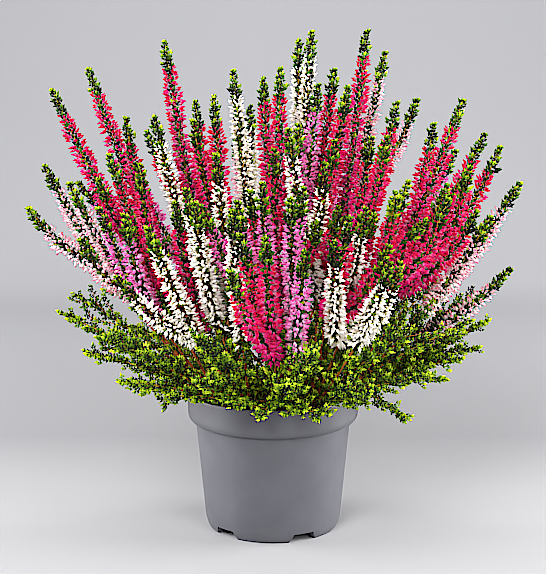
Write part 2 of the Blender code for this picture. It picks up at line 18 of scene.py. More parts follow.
import bmesh
import bpy
import numpy as np
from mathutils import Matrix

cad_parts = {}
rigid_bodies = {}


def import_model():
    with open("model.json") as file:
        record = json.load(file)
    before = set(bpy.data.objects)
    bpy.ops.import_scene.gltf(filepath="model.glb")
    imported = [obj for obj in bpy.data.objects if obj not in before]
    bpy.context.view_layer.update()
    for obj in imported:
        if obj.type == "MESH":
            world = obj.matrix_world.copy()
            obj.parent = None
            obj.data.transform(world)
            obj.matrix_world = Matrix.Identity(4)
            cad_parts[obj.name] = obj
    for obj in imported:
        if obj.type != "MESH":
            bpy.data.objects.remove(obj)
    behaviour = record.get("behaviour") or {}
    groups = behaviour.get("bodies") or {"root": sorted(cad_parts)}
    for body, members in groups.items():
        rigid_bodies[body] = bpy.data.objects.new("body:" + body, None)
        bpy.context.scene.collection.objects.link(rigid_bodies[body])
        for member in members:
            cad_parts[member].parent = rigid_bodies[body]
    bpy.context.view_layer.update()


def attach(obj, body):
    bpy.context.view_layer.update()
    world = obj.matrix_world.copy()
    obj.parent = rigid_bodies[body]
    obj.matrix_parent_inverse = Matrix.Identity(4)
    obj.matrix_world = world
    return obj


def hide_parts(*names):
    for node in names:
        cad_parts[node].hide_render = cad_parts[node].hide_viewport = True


LOG = logging.getLogger("potted_heather")
MM = 0.001
PER_METRE = 1000.0
SEED = 20
SAMPLES = 22
TURN = 2.0 * math.pi
GOLDEN_ANGLE = math.pi * (3.0 - math.sqrt(5.0))

Array = np.ndarray
Rgba = tuple[float, float, float, float]
Span = tuple[float, float]
Stops = tuple[tuple[float, str], ...]
Curve = tuple[tuple[float, ...], tuple[float, ...]]
Recipe = dict[str, tuple[str, dict[str, object], dict[str, str]]]

# The nodes that read the mesh, which a recipe uses without listing them, and settings that recur.
READERS: Recipe = {key: ("Attribute", {"attribute_name": key}, {}) for key in ("along", "age", "tone")}
READERS["place"] = ("TexCoord", {}, {})
IN_PLACE = {"Vector": "place.Object"}
SUM = {"operation": "ADD", "use_clamp": True}


class Colour(Enum):
    """The four flower colours that grow in the pot."""

    CRIMSON = "crimson"
    PINK = "pink"
    WHITE = "white"
    PALE = "pale"


CRIMSON, PINK, WHITE, PALE = Colour

# Each cutting: its place in the soil, then its sprays. A spray is a colour and one to three spikes,
# each the place of the tip and the length of the stretch in flower.
CUTTINGS = {
    "crown_left_back": ((-20, 18), (
        (CRIMSON, ((-154, 20, 308, 95), (-118, -20, 250, 60))),
        (CRIMSON, ((-131, 40, 322, 105), (-102, 15, 289, 80))),
        (CRIMSON, ((-76, 30, 341, 110),)),
        (CRIMSON, ((-57, 70, 298, 88), (-93, 70, 276, 80))),
        (CRIMSON, ((-42, 40, 303, 95), (-55, 5, 288, 85))),
    )),
    "crown_left_pale": ((-38, 6), (
        (PALE, ((-160, 12, 256, 75), (-168, -10, 229, 72))),
        (PALE, ((-136, -35, 249, 75), (-126, -62, 215, 55))),
    )),
    "crown_left_front": ((-32, -14), (
        (CRIMSON, ((-111, -15, 266, 85), (-88, -40, 262, 85), (-96, -62, 230, 60))),
        (PINK, ((-115, -50, 234, 70), (-96, -75, 233, 70))),
        (CRIMSON, ((-64, -52, 238, 75), (-80, -72, 219, 60))),
    )),
    "crown_white_left": ((-15, -30), (
        (WHITE, ((-81, -5, 291, 100),)),
        (WHITE, ((-38, -35, 268, 90),)),
        (WHITE, ((-57, -60, 248, 80), (-49, -95, 243, 80))),
        (WHITE, ((-79, -100, 228, 75), (-100, -88, 195, 45))),
        (WHITE, ((-25, -115, 240, 82),)),
    )),
    "crown_pink_front": ((6, -36), (
        (PINK, ((-7, -72, 253, 85), (-23, -80, 242, 80), (-48, -50, 236, 65))),
        (PINK, ((20, -72, 250, 80), (11, -108, 247, 80))),
        (CRIMSON, ((-5, -148, 228, 88), (-26, -147, 208, 60), (-20, -118, 226, 70))),
        (PINK, ((19, -142, 219, 74),)),
    )),
    "crown_centre": ((-2, -6), (
        (CRIMSON, ((5, 10, 323, 105), (-7, 35, 316, 100))),
        (CRIMSON, ((1, -20, 270, 85), (-15, -50, 245, 75), (28, -78, 228, 70))),
        (PINK, ((31, 5, 312, 95), (17, -8, 286, 85))),
        (CRIMSON, ((42, -22, 276, 85), (43, -60, 236, 70))),
        (CRIMSON, ((43, 28, 322, 105), (51, -2, 311, 100))),
    )),
    "crown_white_back": ((4, 20), (
        (WHITE, ((-29, 65, 320, 100), (-17, 95, 293, 85))),
        (WHITE, ((27, 33, 348, 108), (18, 55, 342, 105))),
    )),
    "crown_white_right": ((26, -26), (
        (WHITE, ((34, -34, 262, 75), (10, -38, 285, 85))),
        (WHITE, ((58, -98, 240, 85), (37, -135, 224, 72))),
        (WHITE, ((72, -128, 210, 58), (80, -106, 207, 58))),
    )),
    "crown_right": ((24, -2), (
        (CRIMSON, ((66, 38, 348, 110),)),
        (CRIMSON, ((87, 25, 299, 95),)),
        (CRIMSON, ((133, 20, 301, 98), (115, 45, 283, 90))),
        (CRIMSON, ((145, -5, 279, 90), (153, -22, 272, 85), (128, -60, 262, 80))),
        (CRIMSON, ((89, -52, 252, 80), (78, -80, 248, 75), (95, -110, 234, 75))),
        (CRIMSON, ((129, -20, 249, 75), (115, -45, 249, 75), (130, -82, 236, 75))),
        (CRIMSON, ((67, -18, 278, 85), (75, -42, 280, 85), (66, -70, 232, 60))),
        (CRIMSON, ((47, -116, 236, 70), (74, -98, 216, 55), (110, -100, 246, 80))),
    )),
    "crown_right_pale": ((42, 2), (
        (PALE, ((171, 0, 245, 85),)),
        (PALE, ((144, -50, 228, 62),)),
        (PALE, ((164, -15, 187, 60),)),
    )),
    "crown_back": ((6, 42), (
        (PALE, ((81, 58, 333, 105), (105, 60, 299, 90))),
        (PINK, ((-112, 82, 258, 75), (-142, 50, 240, 70))),
        (PINK, ((-74, 112, 262, 75), (-62, 142, 232, 65))),
        (PALE, ((-30, 128, 270, 80), (-2, 152, 238, 68))),
        (PINK, ((55, 98, 300, 85), (22, 110, 292, 85), (48, 142, 240, 70))),
        (CRIMSON, ((92, 100, 270, 78),)),
        (PINK, ((134, 62, 262, 75),)),
    )),
}

# The leafy skirt: rings of sprigs by count, reach, height of the tips and first bearing, then the
# single ones that hang over the rim, and those that fill it out low on the right.
SKIRT_RINGS = (
    (13, 149, 163, 3.0),
    (14, 130, 130, 16.0),
    (13, 103, 109, 5.0),
)
SKIRT_JITTER = (5.0, 5.0, 6.0)
HANGING = ((98, -6, 77), (-83, -8, 88), (-10, -88, 100), (38, -84, 101))
LOW_RIGHT = ((152, -12, 150), (144, -25, 134), (130, -40, 129), (120, -30, 112))
SKIRT_ROOT_REACH = 44.0


def linear(hex_colour: str) -> Rgba:
    """Turns an sRGB hex value to linear light.

    Args:
        hex_colour: A colour such as "#7f8899".

    Returns:
        Linear red, green and blue, and an alpha of 1.
    """
    parts = [int(hex_colour[k : k + 2], 16) / 255.0 for k in (1, 3, 5)]
    red, green, blue = (c / 12.92 if c <= 0.04045 else ((c + 0.055) / 1.055) ** 2.4 for c in parts)
    return red, green, blue, 1.0


def add_node(
    tree: bpy.types.NodeTree,
    kind: str,
    settings: dict[str, object] | None = None,
    links: dict[str, bpy.types.NodeSocket] | None = None,
) -> bpy.types.Node:
    """Adds a node with its settings and links.

    Args:
        tree: The node tree.
        kind: The node's type name.
        settings: Values by the name of an input, or else of one of the node's own properties, or
            "stops" for those of a colour ramp.
        links: Output sockets by the name of the input that each feeds.

    Returns:
        The new node.
    """
    node = tree.nodes.new(kind)
    for name, value in (settings or {}).items():
        if name == "stops":
            fill_ramp(node.color_ramp.elements, value)
        elif not name[0].isupper() and hasattr(node, name):
            setattr(node, name, value)
        else:
            node.inputs[int(name) if name.isdigit() else name].default_value = value
    for name, socket in (links or {}).items():
        tree.links.new(socket, node.inputs[int(name) if name.isdigit() else name])
    return node


def fill_ramp(elements: bpy.types.bpy_prop_collection, stops: Stops) -> None:
    """Sets the stops of a colour ramp.

    Args:
        elements: The ramp's elements.
        stops: Position and hex colour of each stop, in rising order.
    """
    while len(elements) < len(stops):
        elements.new(0.5)
    for element, (position, colour) in zip(elements, stops):
        element.position = position
        element.color = linear(colour)


def make_material(name: str, recipe: Recipe) -> bpy.types.Material:
    """Builds a material from the recipe of its nodes.

    Args:
        name: The finish's plain name.
        recipe: For each node its kind, its settings, and the "node.output" that feeds each of its
            inputs, which may be one of the READERS. The node called shader is the surface.

    Returns:
        The material.
    """
    made = bpy.data.materials.new(name)
    made.use_nodes = True
    made.node_tree.nodes.clear()
    nodes: dict[str, bpy.types.Node] = {}
    used = {source.partition(".")[0] for _, _, sources in recipe.values() for source in sources.values()}
    readers = {key: entry for key, entry in READERS.items() if key in used}
    for key, (kind, settings, sources) in (readers | recipe).items():
        links = {}
        for socket, source in sources.items():
            node, _, output = source.partition(".")
            links[socket] = nodes[node].outputs[int(output) if output.isdigit() else output]
        nodes[key] = add_node(made.node_tree, "ShaderNode" + kind, settings, links)
    surface = {"Surface": nodes["shader"].outputs[0]}
    add_node(made.node_tree, "ShaderNodeOutputMaterial", links=surface)
    return made


def put(name: str, data: bpy.types.ID) -> bpy.types.Object:
    """Makes an object and links it to the scene.

    Args:
        name: The object's name.
        data: Its mesh, light or camera.

    Returns:
        The object.
    """
    made = bpy.data.objects.new(name, data)
    bpy.context.scene.collection.objects.link(made)
    return made


@dataclass(frozen=True)
class MouldedPolypropylene:
    """Grey polypropylene from a satin-blasted mould: an even, slightly soft sheen, no grain to see."""

    name: str = "grey_polypropylene"
    stops: Stops = ((0.35, "#55555c"), (0.75, "#5e5e65"))
    roughness: Span = (0.37, 0.5)
    ior: float = 1.49
    blast_mm: float = 0.9
    blast_depth_mm: float = 0.05
    blast_strength: float = 0.12
    cloud_mm: float = 24.0

    def make(self) -> bpy.types.Material:
        """Builds the material.

        Returns:
            The material.
        """
        smooth, rough = self.roughness
        relief = {"Strength": self.blast_strength, "Distance": self.blast_depth_mm * MM}
        # The blasted texture of the real mould is finer, about 0.1 mm, which no pixel would show.
        return make_material(self.name, {
            "cloud": ("TexNoise", {"Scale": PER_METRE / self.cloud_mm, "Detail": 4.0}, IN_PLACE),
            "blast": ("TexNoise", {"Scale": PER_METRE / self.blast_mm, "Detail": 2.0}, IN_PLACE),
            "colour": ("ValToRGB", {"stops": self.stops}, {"Fac": "cloud.Fac"}),
            "gloss": ("MapRange", {"To Min": smooth, "To Max": rough}, {"Value": "cloud.Fac"}),
            "relief": ("Bump", relief, {"Height": "blast.Fac"}),
            "shader": (
                "BsdfPrincipled",
                {"IOR": self.ior},
                {"Base Color": "colour.Color", "Roughness": "gloss.0", "Normal": "relief.0"},
            ),
        })


@dataclass(frozen=True)
class MilledPeat:
    """Milled peat with shreds of bark: matt, nearly black where moist, red-brown on dry crumbs."""

    name: str = "milled_peat"
    stops: Stops = ((0.12, "#1c110b"), (0.32, "#3e2617"), (0.6, "#7a4c2e"))
    roughness: float = 0.95
    ior: float = 1.35
    crumb_mm: float = 1.6
    crumb_depth_mm: float = 0.6
    crumb_strength: float = 0.7

    def make(self) -> bpy.types.Material:
        """Builds the material.

        Returns:
            The material.
        """
        relief = {"Strength": self.crumb_strength, "Distance": self.crumb_depth_mm * MM}
        return make_material(self.name, {
            "crumb": ("TexNoise", {"Scale": PER_METRE / self.crumb_mm, "Detail": 6.0}, IN_PLACE),
            "both": ("Math", {"operation": "MULTIPLY"}, {"0": "tone.Fac", "1": "crumb.Fac"}),
            "colour": ("ValToRGB", {"stops": self.stops}, {"Fac": "both.0"}),
            "relief": ("Bump", relief, {"Height": "crumb.Fac"}),
            "shader": (
                "BsdfPrincipled",
                {"Roughness": self.roughness, "IOR": self.ior},
                {"Base Color": "colour.Color", "Normal": "relief.0"},
            ),
        })


@dataclass(frozen=True)
class HeatherLeaf:
    """Living scale leaves, waxed by the plant: dark below and among the stems, where shade is painted in,
    fresh yellow-green where a shoot grows.
    """

    name: str = "heather_leaf"
    # The age that picks these stops carries painted light and shade as well as youth; the near-black low
    # stops serve the painted shade.
    stops: Stops = (
        (0.0, "#0c1103"),
        (0.22, "#263b0a"),
        (0.44, "#6a930e"),
        (0.68, "#c2dc1c"),
        (1.0, "#fbfb52"),
    )
    roughness: float = 0.45
    ior: float = 1.42
    sheen: float = 0.25
    patch_mm: float = 30.0
    drift: float = 0.16
    jitter: float = 0.12

    def make(self) -> bpy.types.Material:
        """Builds the material.

        Returns:
            The material.
        """
        drift = {"To Min": -self.drift, "To Max": self.drift}
        jitter = {"To Min": -self.jitter, "To Max": self.jitter}
        wax = {"Roughness": self.roughness, "IOR": self.ior, "Specular IOR Level": self.sheen}
        return make_material(self.name, {
            "patch": ("TexNoise", {"Scale": PER_METRE / self.patch_mm, "Detail": 1.0}, IN_PLACE),
            "drift": ("MapRange", drift, {"Value": "patch.Fac"}),
            "jitter": ("MapRange", jitter, {"Value": "tone.Fac"}),
            "moved": ("Math", {"operation": "ADD"}, {"0": "age.Fac", "1": "drift.0"}),
            "youth": ("Math", SUM, {"0": "moved.0", "1": "jitter.0"}),
            "colour": ("ValToRGB", {"stops": self.stops}, {"Fac": "youth.0"}),
            "shader": ("BsdfPrincipled", wax, {"Base Color": "colour.Color"}),
        })


@dataclass(frozen=True)
class HeatherBark:
    """Thin bark of a heather stem: grey-brown when woody, then red-brown, then yellow-green."""

    name: str = "heather_bark"
    stops: Stops = (
        (0.0, "#2c1610"),
        (0.3, "#8e3214"),
        (0.6, "#cf701e"),
        (0.82, "#d0a626"),
        (1.0, "#b4b43a"),
    )
    roughness: float = 0.6
    ior: float = 1.45
    ridge_mm: float = 1.2
    ridge_depth_mm: float = 0.1
    ridge_strength: float = 0.4
    drift: float = 0.18

    def make(self) -> bpy.types.Material:
        """Builds the material.

        Returns:
            The material.
        """
        drift = {"To Min": -self.drift, "To Max": self.drift}
        relief = {"Strength": self.ridge_strength, "Distance": self.ridge_depth_mm * MM}
        return make_material(self.name, {
            "ridge": ("TexNoise", {"Scale": PER_METRE / self.ridge_mm, "Detail": 3.0}, IN_PLACE),
            "drift": ("MapRange", drift, {"Value": "ridge.Fac"}),
            "youth": ("Math", SUM, {"0": "age.Fac", "1": "drift.0"}),
            "colour": ("ValToRGB", {"stops": self.stops}, {"Fac": "youth.0"}),
            "relief": ("Bump", relief, {"Height": "ridge.Fac"}),
            "shader": (
                "BsdfPrincipled",
                {"Roughness": self.roughness, "IOR": self.ior},
                {"Base Color": "colour.Color", "Normal": "relief.0"},
            ),
        })


@dataclass(frozen=True)
class HeatherSepal:
    """Papery sepals of a closed heather bud: a silky sheen, palest at the foot, deepest at the tip, which
    is partly their own colour and partly painted light and shade.
    """

    colour: Colour
    foot: str
    low: str
    high: str
    tip: str
    roughness: float = 0.42
    ior: float = 1.4
    sheen: float = 0.15
    jitter: float = 0.45
    foot_end: float = 0.55
    tip_start: float = 0.5

    def make(self) -> bpy.types.Material:
        """Builds the material.

        Returns:
            The material.
        """
        jitter = {"To Min": -self.jitter, "To Max": self.jitter}
        silk = {"Roughness": self.roughness, "IOR": self.ior, "Specular IOR Level": self.sheen}
        soft = {"interpolation_type": "SMOOTHSTEP"}
        foot = {"data_type": "RGBA", "6": linear(self.foot)}
        tip = {"data_type": "RGBA", "7": linear(self.tip)}
        return make_material("heather_sepal_" + self.colour.value, {
            "jitter": ("MapRange", jitter, {"Value": "tone.Fac"}),
            "height": ("Math", SUM, {"0": "age.Fac", "1": "jitter.0"}),
            "body": ("ValToRGB", {"stops": ((0.0, self.low), (1.0, self.high))}, {"Fac": "height.0"}),
            # Pale foot and deep tip: partly the bud's own colour, partly painted light and shade that stand
            # in for light passing through the sepals.
            "reach": ("MapRange", soft | {"From Max": self.foot_end}, {"Value": "along.Fac"}),
            "end": ("MapRange", soft | {"From Min": self.tip_start}, {"Value": "along.Fac"}),
            "colour": ("Mix", foot, {"0": "reach.0", "7": "body.Color"}),
            "tipped": ("Mix", tip, {"0": "end.0", "6": "colour.2"}),
            "shader": ("BsdfPrincipled", silk, {"Base Color": "tipped.2"}),
        })


# Pale feet and deep tips: partly the buds' own colours, partly painted light and shade.
SEPALS = (
    HeatherSepal(CRIMSON, foot="#ffc8e4", low="#f8369c", high="#dc0e4a", tip="#c4042e"),
    HeatherSepal(PINK, foot="#fffafc", low="#ffbce6", high="#f870be", tip="#e24496"),
    HeatherSepal(WHITE, foot="#e6d890", low="#fffcf6", high="#fffdf9", tip="#fff8ee"),
    HeatherSepal(PALE, foot="#fffaf6", low="#fff4f2", high="#fccad8", tip="#e8527c"),
)


@dataclass(frozen=True)
class StudioPaper:
    """Seamless background paper with painted light and shade: matt, pale in front, greyer behind the pot.
    """

    name: str = "studio_paper"
    shade_length: float = 1.3
    # Painted light and shade along the paper: pale in front, darkest just behind the pot, lighter towards
    # the curve, a little darker up the wall.
    shade: Stops = ((0.0, "#adadb0"), (0.17, "#909093"), (0.7, "#a9a9ac"), (1.0, "#9e9ea1"))
    roughness: float = 0.9
    tooth: float = 0.012
    tooth_scale: float = 6.0

    def make(self) -> bpy.types.Material:
        """Builds the material.

        Returns:
            The material.
        """
        tooth = {"To Min": 1.0 - self.tooth, "To Max": 1.0 + self.tooth}
        return make_material(self.name, {
            "axes": ("SeparateXYZ", {}, IN_PLACE),
            "behind": ("MapRange", {"From Max": self.shade_length}, {"Value": "axes.Y"}),
            "shade": ("ValToRGB", {"stops": self.shade}, {"Fac": "behind.0"}),
            "noise": ("TexNoise", {"Scale": self.tooth_scale, "Detail": 2.0}, IN_PLACE),
            "tooth": ("MapRange", tooth, {"Value": "noise.Fac"}),
            "colour": ("HueSaturation", {}, {"Color": "shade.Color", "Value": "tooth.0"}),
            "shader": ("BsdfPrincipled", {"Roughness": self.roughness}, {"Base Color": "colour.0"}),
        })


@dataclass(frozen=True)
class Form:
    """A small shape to be stamped many times. It grows from the origin along +Z, in millimetres.

    Each point knows how far along its own leaf or bud it is, and how young it is, which on a leaf
    also carries painted shade. Each face knows its material's place in the piece's list, and whether
    it is shaded smooth.
    """

    points: Array
    faces: Array
    along: Array
    age: Array
    slots: Array
    smooth: Array

    @classmethod
    def plain(
        cls,
        points: Sequence[Sequence[float]],
        faces: Sequence[Sequence[int]],
        along: Sequence[float],
        age: Sequence[float] | float = 1.0,
        smooth: bool = False,
    ) -> Form:
        """Makes a form of one material.

        Args:
            points: Its points.
            faces: Its triangles.
            along: How far along each point is, from 0 to 1.
            age: How young each point is, or one number for all.
            smooth: Whether it is shaded smooth.

        Returns:
            The form.
        """
        return cls(
            np.array(points, float),
            np.array(faces),
            np.array(along, float),
            np.broadcast_to(np.asarray(age, float), len(points)),
            np.zeros(len(faces), int),
            np.full(len(faces), smooth),
        )


def unit(vectors: Array) -> Array:
    """Scales vectors to length 1.

    Args:
        vectors: One vector a row.

    Returns:
        The same directions at length 1.
    """
    return vectors / np.maximum(np.linalg.norm(vectors, axis=-1, keepdims=True), 1e-9)


def frames_along(directions: Array, normals: Array) -> Array:
    """Builds the axes of forms that grow along given directions.

    Args:
        directions: The +Z axis of each form.
        normals: Roughly the +Y axis of each form, the way its flat side faces.

    Returns:
        For each form a 3 x 3 array whose rows are its X, Y and Z axes.
    """
    z = unit(directions)
    x = unit(np.cross(normals, z))
    return np.stack([x, np.cross(z, x), z], axis=1)


@dataclass
class Heap:
    """Gathers the many small parts of one piece, then makes its mesh."""

    parts: list[tuple[Array, ...]] = field(default_factory=list)
    count: int = 0

    def stamp(
        self,
        form: Form,
        places: Array,
        frames: Array,
        sizes: Array,
        age: Array | float = 1.0,
        tone: Array | float = 0.5,
        slot: int = 0,
    ) -> None:
        """Stamps a form at many places.

        Args:
            form: The shape to stamp.
            places: Where each one's origin goes.
            frames: Each one's axes, as frames_along gives them.
            sizes: Each one's scale, a number or one for each axis.
            age: How young each one is, painted shade included where there is any, which scales the form's
                own.
            tone: A number from 0 to 1 by which the material varies it.
            slot: Added to the form's own material places.
        """
        many = len(places)
        if many == 0:
            return
        sizes = np.asarray(sizes, float)
        if sizes.ndim == 1:
            sizes = np.repeat(sizes[:, None], 3, axis=1)
        local = form.points[None] * sizes[:, None, :]
        points = np.einsum("nmk,nkc->nmc", local, frames) + places[:, None, :]
        own = len(form.points)
        faces = form.faces[None] + (self.count + own * np.arange(many))[:, None, None]
        age = np.broadcast_to(np.asarray(age, float), many)
        tone = np.broadcast_to(np.asarray(tone, float), many)
        self.parts.append((
            points.reshape(-1, 3),
            faces.reshape(-1, 3),
            np.tile(form.along, many),
            (age[:, None] * form.age[None]).ravel(),
            np.repeat(tone, own),
            np.tile(form.slots + slot, many),
            np.tile(form.smooth, many),
        ))
        self.count += own * many

    def add(
        self,
        points: Array,
        faces: Array,
        age: Array | float = 0.5,
        tone: float = 0.5,
        slot: int = 0,
        smooth: bool = True,
    ) -> None:
        """Adds one body as it is.

        Args:
            points: Its points.
            faces: Its triangles.
            age: How young each point is, or one number for all.
            tone: A number from 0 to 1 by which the material varies it.
            slot: Its material's place in the piece's list.
            smooth: Whether it is shaded smooth.
        """
        many = len(points)
        self.parts.append((
            points,
            faces + self.count,
            np.full(many, 0.5),
            np.broadcast_to(np.asarray(age, float), many),
            np.full(many, tone),
            np.full(len(faces), slot),
            np.full(len(faces), smooth),
        ))
        self.count += many

    def joined(self) -> list[Array]:
        """Returns points, faces, along, age, tone, slots and smooth flags of all parts."""
        return [np.concatenate([part[k] for part in self.parts]) for k in range(7)]

    def form(self) -> Form:
        """Returns the heap as one form, so that it can be stamped itself."""
        points, faces, along, age, _, slots, smooth = self.joined()
        return Form(points, faces, along, age, slots, smooth)

    def piece(self, name: str, materials: list[bpy.types.Material]) -> bpy.types.Object:
        """Makes the object.

        Args:
            name: The object's name.
            materials: Its materials, in the order that the slots count them.

        Returns:
            The object, linked to the scene.
        """
        points, faces, along, age, tone, slots, smooth = self.joined()
        mesh = bpy.data.meshes.new(name)
        mesh.vertices.add(len(points))
        mesh.vertices.foreach_set("co", (points * MM).astype(np.float32).ravel())
        mesh.loops.add(len(faces) * 3)
        mesh.loops.foreach_set("vertex_index", faces.astype(np.int32).ravel())
        mesh.polygons.add(len(faces))
        mesh.polygons.foreach_set("loop_start", np.arange(0, len(faces) * 3, 3, dtype=np.int32))
        mesh.polygons.foreach_set("material_index", slots.astype(np.int32))
        mesh.polygons.foreach_set("use_smooth", smooth.astype(bool))
        for key, values in (("along", along), ("age", age), ("tone", tone)):
            layer = mesh.attributes.new(key, "FLOAT", "POINT")
            layer.data.foreach_set("value", values.astype(np.float32))
        mesh.update(calc_edges=True)
        for finish in materials:
            mesh.materials.append(finish)
        return put(name, mesh)


class Path:
    """A stem's centre line, read by distance from its lower end, with a frame that doesn't twist."""

    def __init__(self, points: Array) -> None:
        """Measures the line.

        Args:
            points: Points along it, from the root up.
        """
        self.points = np.asarray(points, float)
        steps = np.linalg.norm(np.diff(self.points, axis=0), axis=1)
        self.arc = np.concatenate([[0.0], np.cumsum(steps)])
        self.length = float(self.arc[-1])
        self.slopes = unit(np.gradient(self.points, self.arc, axis=0))
        heading = self.points[-1] - self.points[0]
        heading[2] = 0.0
        if np.linalg.norm(heading) < 1.0:
            heading = np.array([0.0, -1.0, 0.0])
        heading /= np.linalg.norm(heading)
        self.side = np.array([-heading[1], heading[0], 0.0])

    def read(self, at: Array) -> tuple[Array, Array, Array, Array]:
        """Reads the line at given distances, which may run a little past either end.

        Args:
            at: Distances from the lower end.

        Returns:
            Place, side, up and along at each distance, one row each.
        """
        inside = np.clip(at, 0.0, self.length)
        place = np.stack([np.interp(inside, self.arc, self.points[:, k]) for k in range(3)], axis=1)
        along = np.stack([np.interp(inside, self.arc, self.slopes[:, k]) for k in range(3)], axis=1)
        along = unit(along)
        side = unit(self.side - along * (along @ self.side)[:, None])
        return place + along * (at - inside)[:, None], side, np.cross(along, side), along

    def around(self, at: Array, turns: Array, tilts: Array, out: Array | float) -> tuple[Array, Array]:
        """Places things round the line that point away from it.

        Args:
            at: Distances along the line.
            turns: Each one's angle round the line.
            tilts: Each one's angle from the line's own direction.
            out: How far from the line each one starts.

        Returns:
            Their places and their directions.
        """
        place, side, up, along = self.read(at)
        radial = np.cos(turns)[:, None] * side + np.sin(turns)[:, None] * up
        direction = np.cos(tilts)[:, None] * along + np.sin(tilts)[:, None] * radial
        far = np.broadcast_to(np.asarray(out, float), len(at))
        return place + radial * far[:, None], direction

    def tube(self, at: Array, radii: Array, sides: int) -> tuple[Array, Array]:
        """Makes a closed round body along the line.

        Args:
            at: Distances of its rings.
            radii: The radius of each ring.
            sides: How many points a ring has.

        Returns:
            Points and triangles.
        """
        place, side, up, _ = self.read(at)
        angles = TURN * np.arange(sides) / sides
        across, over = np.cos(angles)[None, :, None], np.sin(angles)[None, :, None]
        around = across * side[:, None] + over * up[:, None]
        points = place[:, None] + radii[:, None, None] * around
        return points.reshape(-1, 3), tube_faces(len(at), sides)


def tube_faces(rings: int, sides: int) -> Array:
    """Triangles of a stack of rings, closed at both ends.

    Args:
        rings: How many rings there are.
        sides: How many points each has.

    Returns:
        The triangles, turned outwards.
    """
    faces = []
    for r in range(rings - 1):
        for k in range(sides):
            a = r * sides + k
            b = r * sides + (k + 1) % sides
            faces += [(a, b, b + sides), (a, b + sides, a + sides)]
    last = (rings - 1) * sides
    for k in range(1, sides - 1):
        faces += [(0, k + 1, k), (last, last + k, last + k + 1)]
    return np.array(faces)


UPRIGHT = np.array([[0.0, 0.0, 1.0]])
SIDEWAYS = np.array([[0.0, 1.0, 0.0]])


def fan(turns: Array, tilts: Array) -> tuple[Array, Array]:
    """Points things away from the +Z axis.

    Args:
        turns: Each one's angle round the axis.
        tilts: Each one's angle from the axis.

    Returns:
        The level way outwards and the direction of each, one row each.
    """
    radial = np.stack([np.cos(turns), np.sin(turns), np.zeros(len(turns))], axis=1)
    return radial, np.cos(tilts)[:, None] * UPRIGHT + np.sin(tilts)[:, None] * radial


def bent(form: Form, amount: float) -> Form:
    """Bends a form over towards its +X side.

    Args:
        form: A form that stands straight along +Z.
        amount: How far its tip moves, as a share of its length.

    Returns:
        The bent form.
    """
    points = form.points.copy()
    length = points[:, 2].max()
    points[:, 0] += amount * points[:, 2] ** 2 / length
    return replace(form, points=points)


def rising(directions: Array) -> Array:
    """Builds axes whose X side faces up, so that a bent form curves upwards.

    Args:
        directions: The +Z axis of each form.

    Returns:
        The axes, as frames_along gives them.
    """
    return frames_along(directions, np.cross(directions, UPRIGHT))


class Leafy(Enum):
    """The leafy growth that is stamped."""

    BRANCH = "branch"
    RISER = "riser"
    SHOOT = "shoot"
    ARM = "arm"


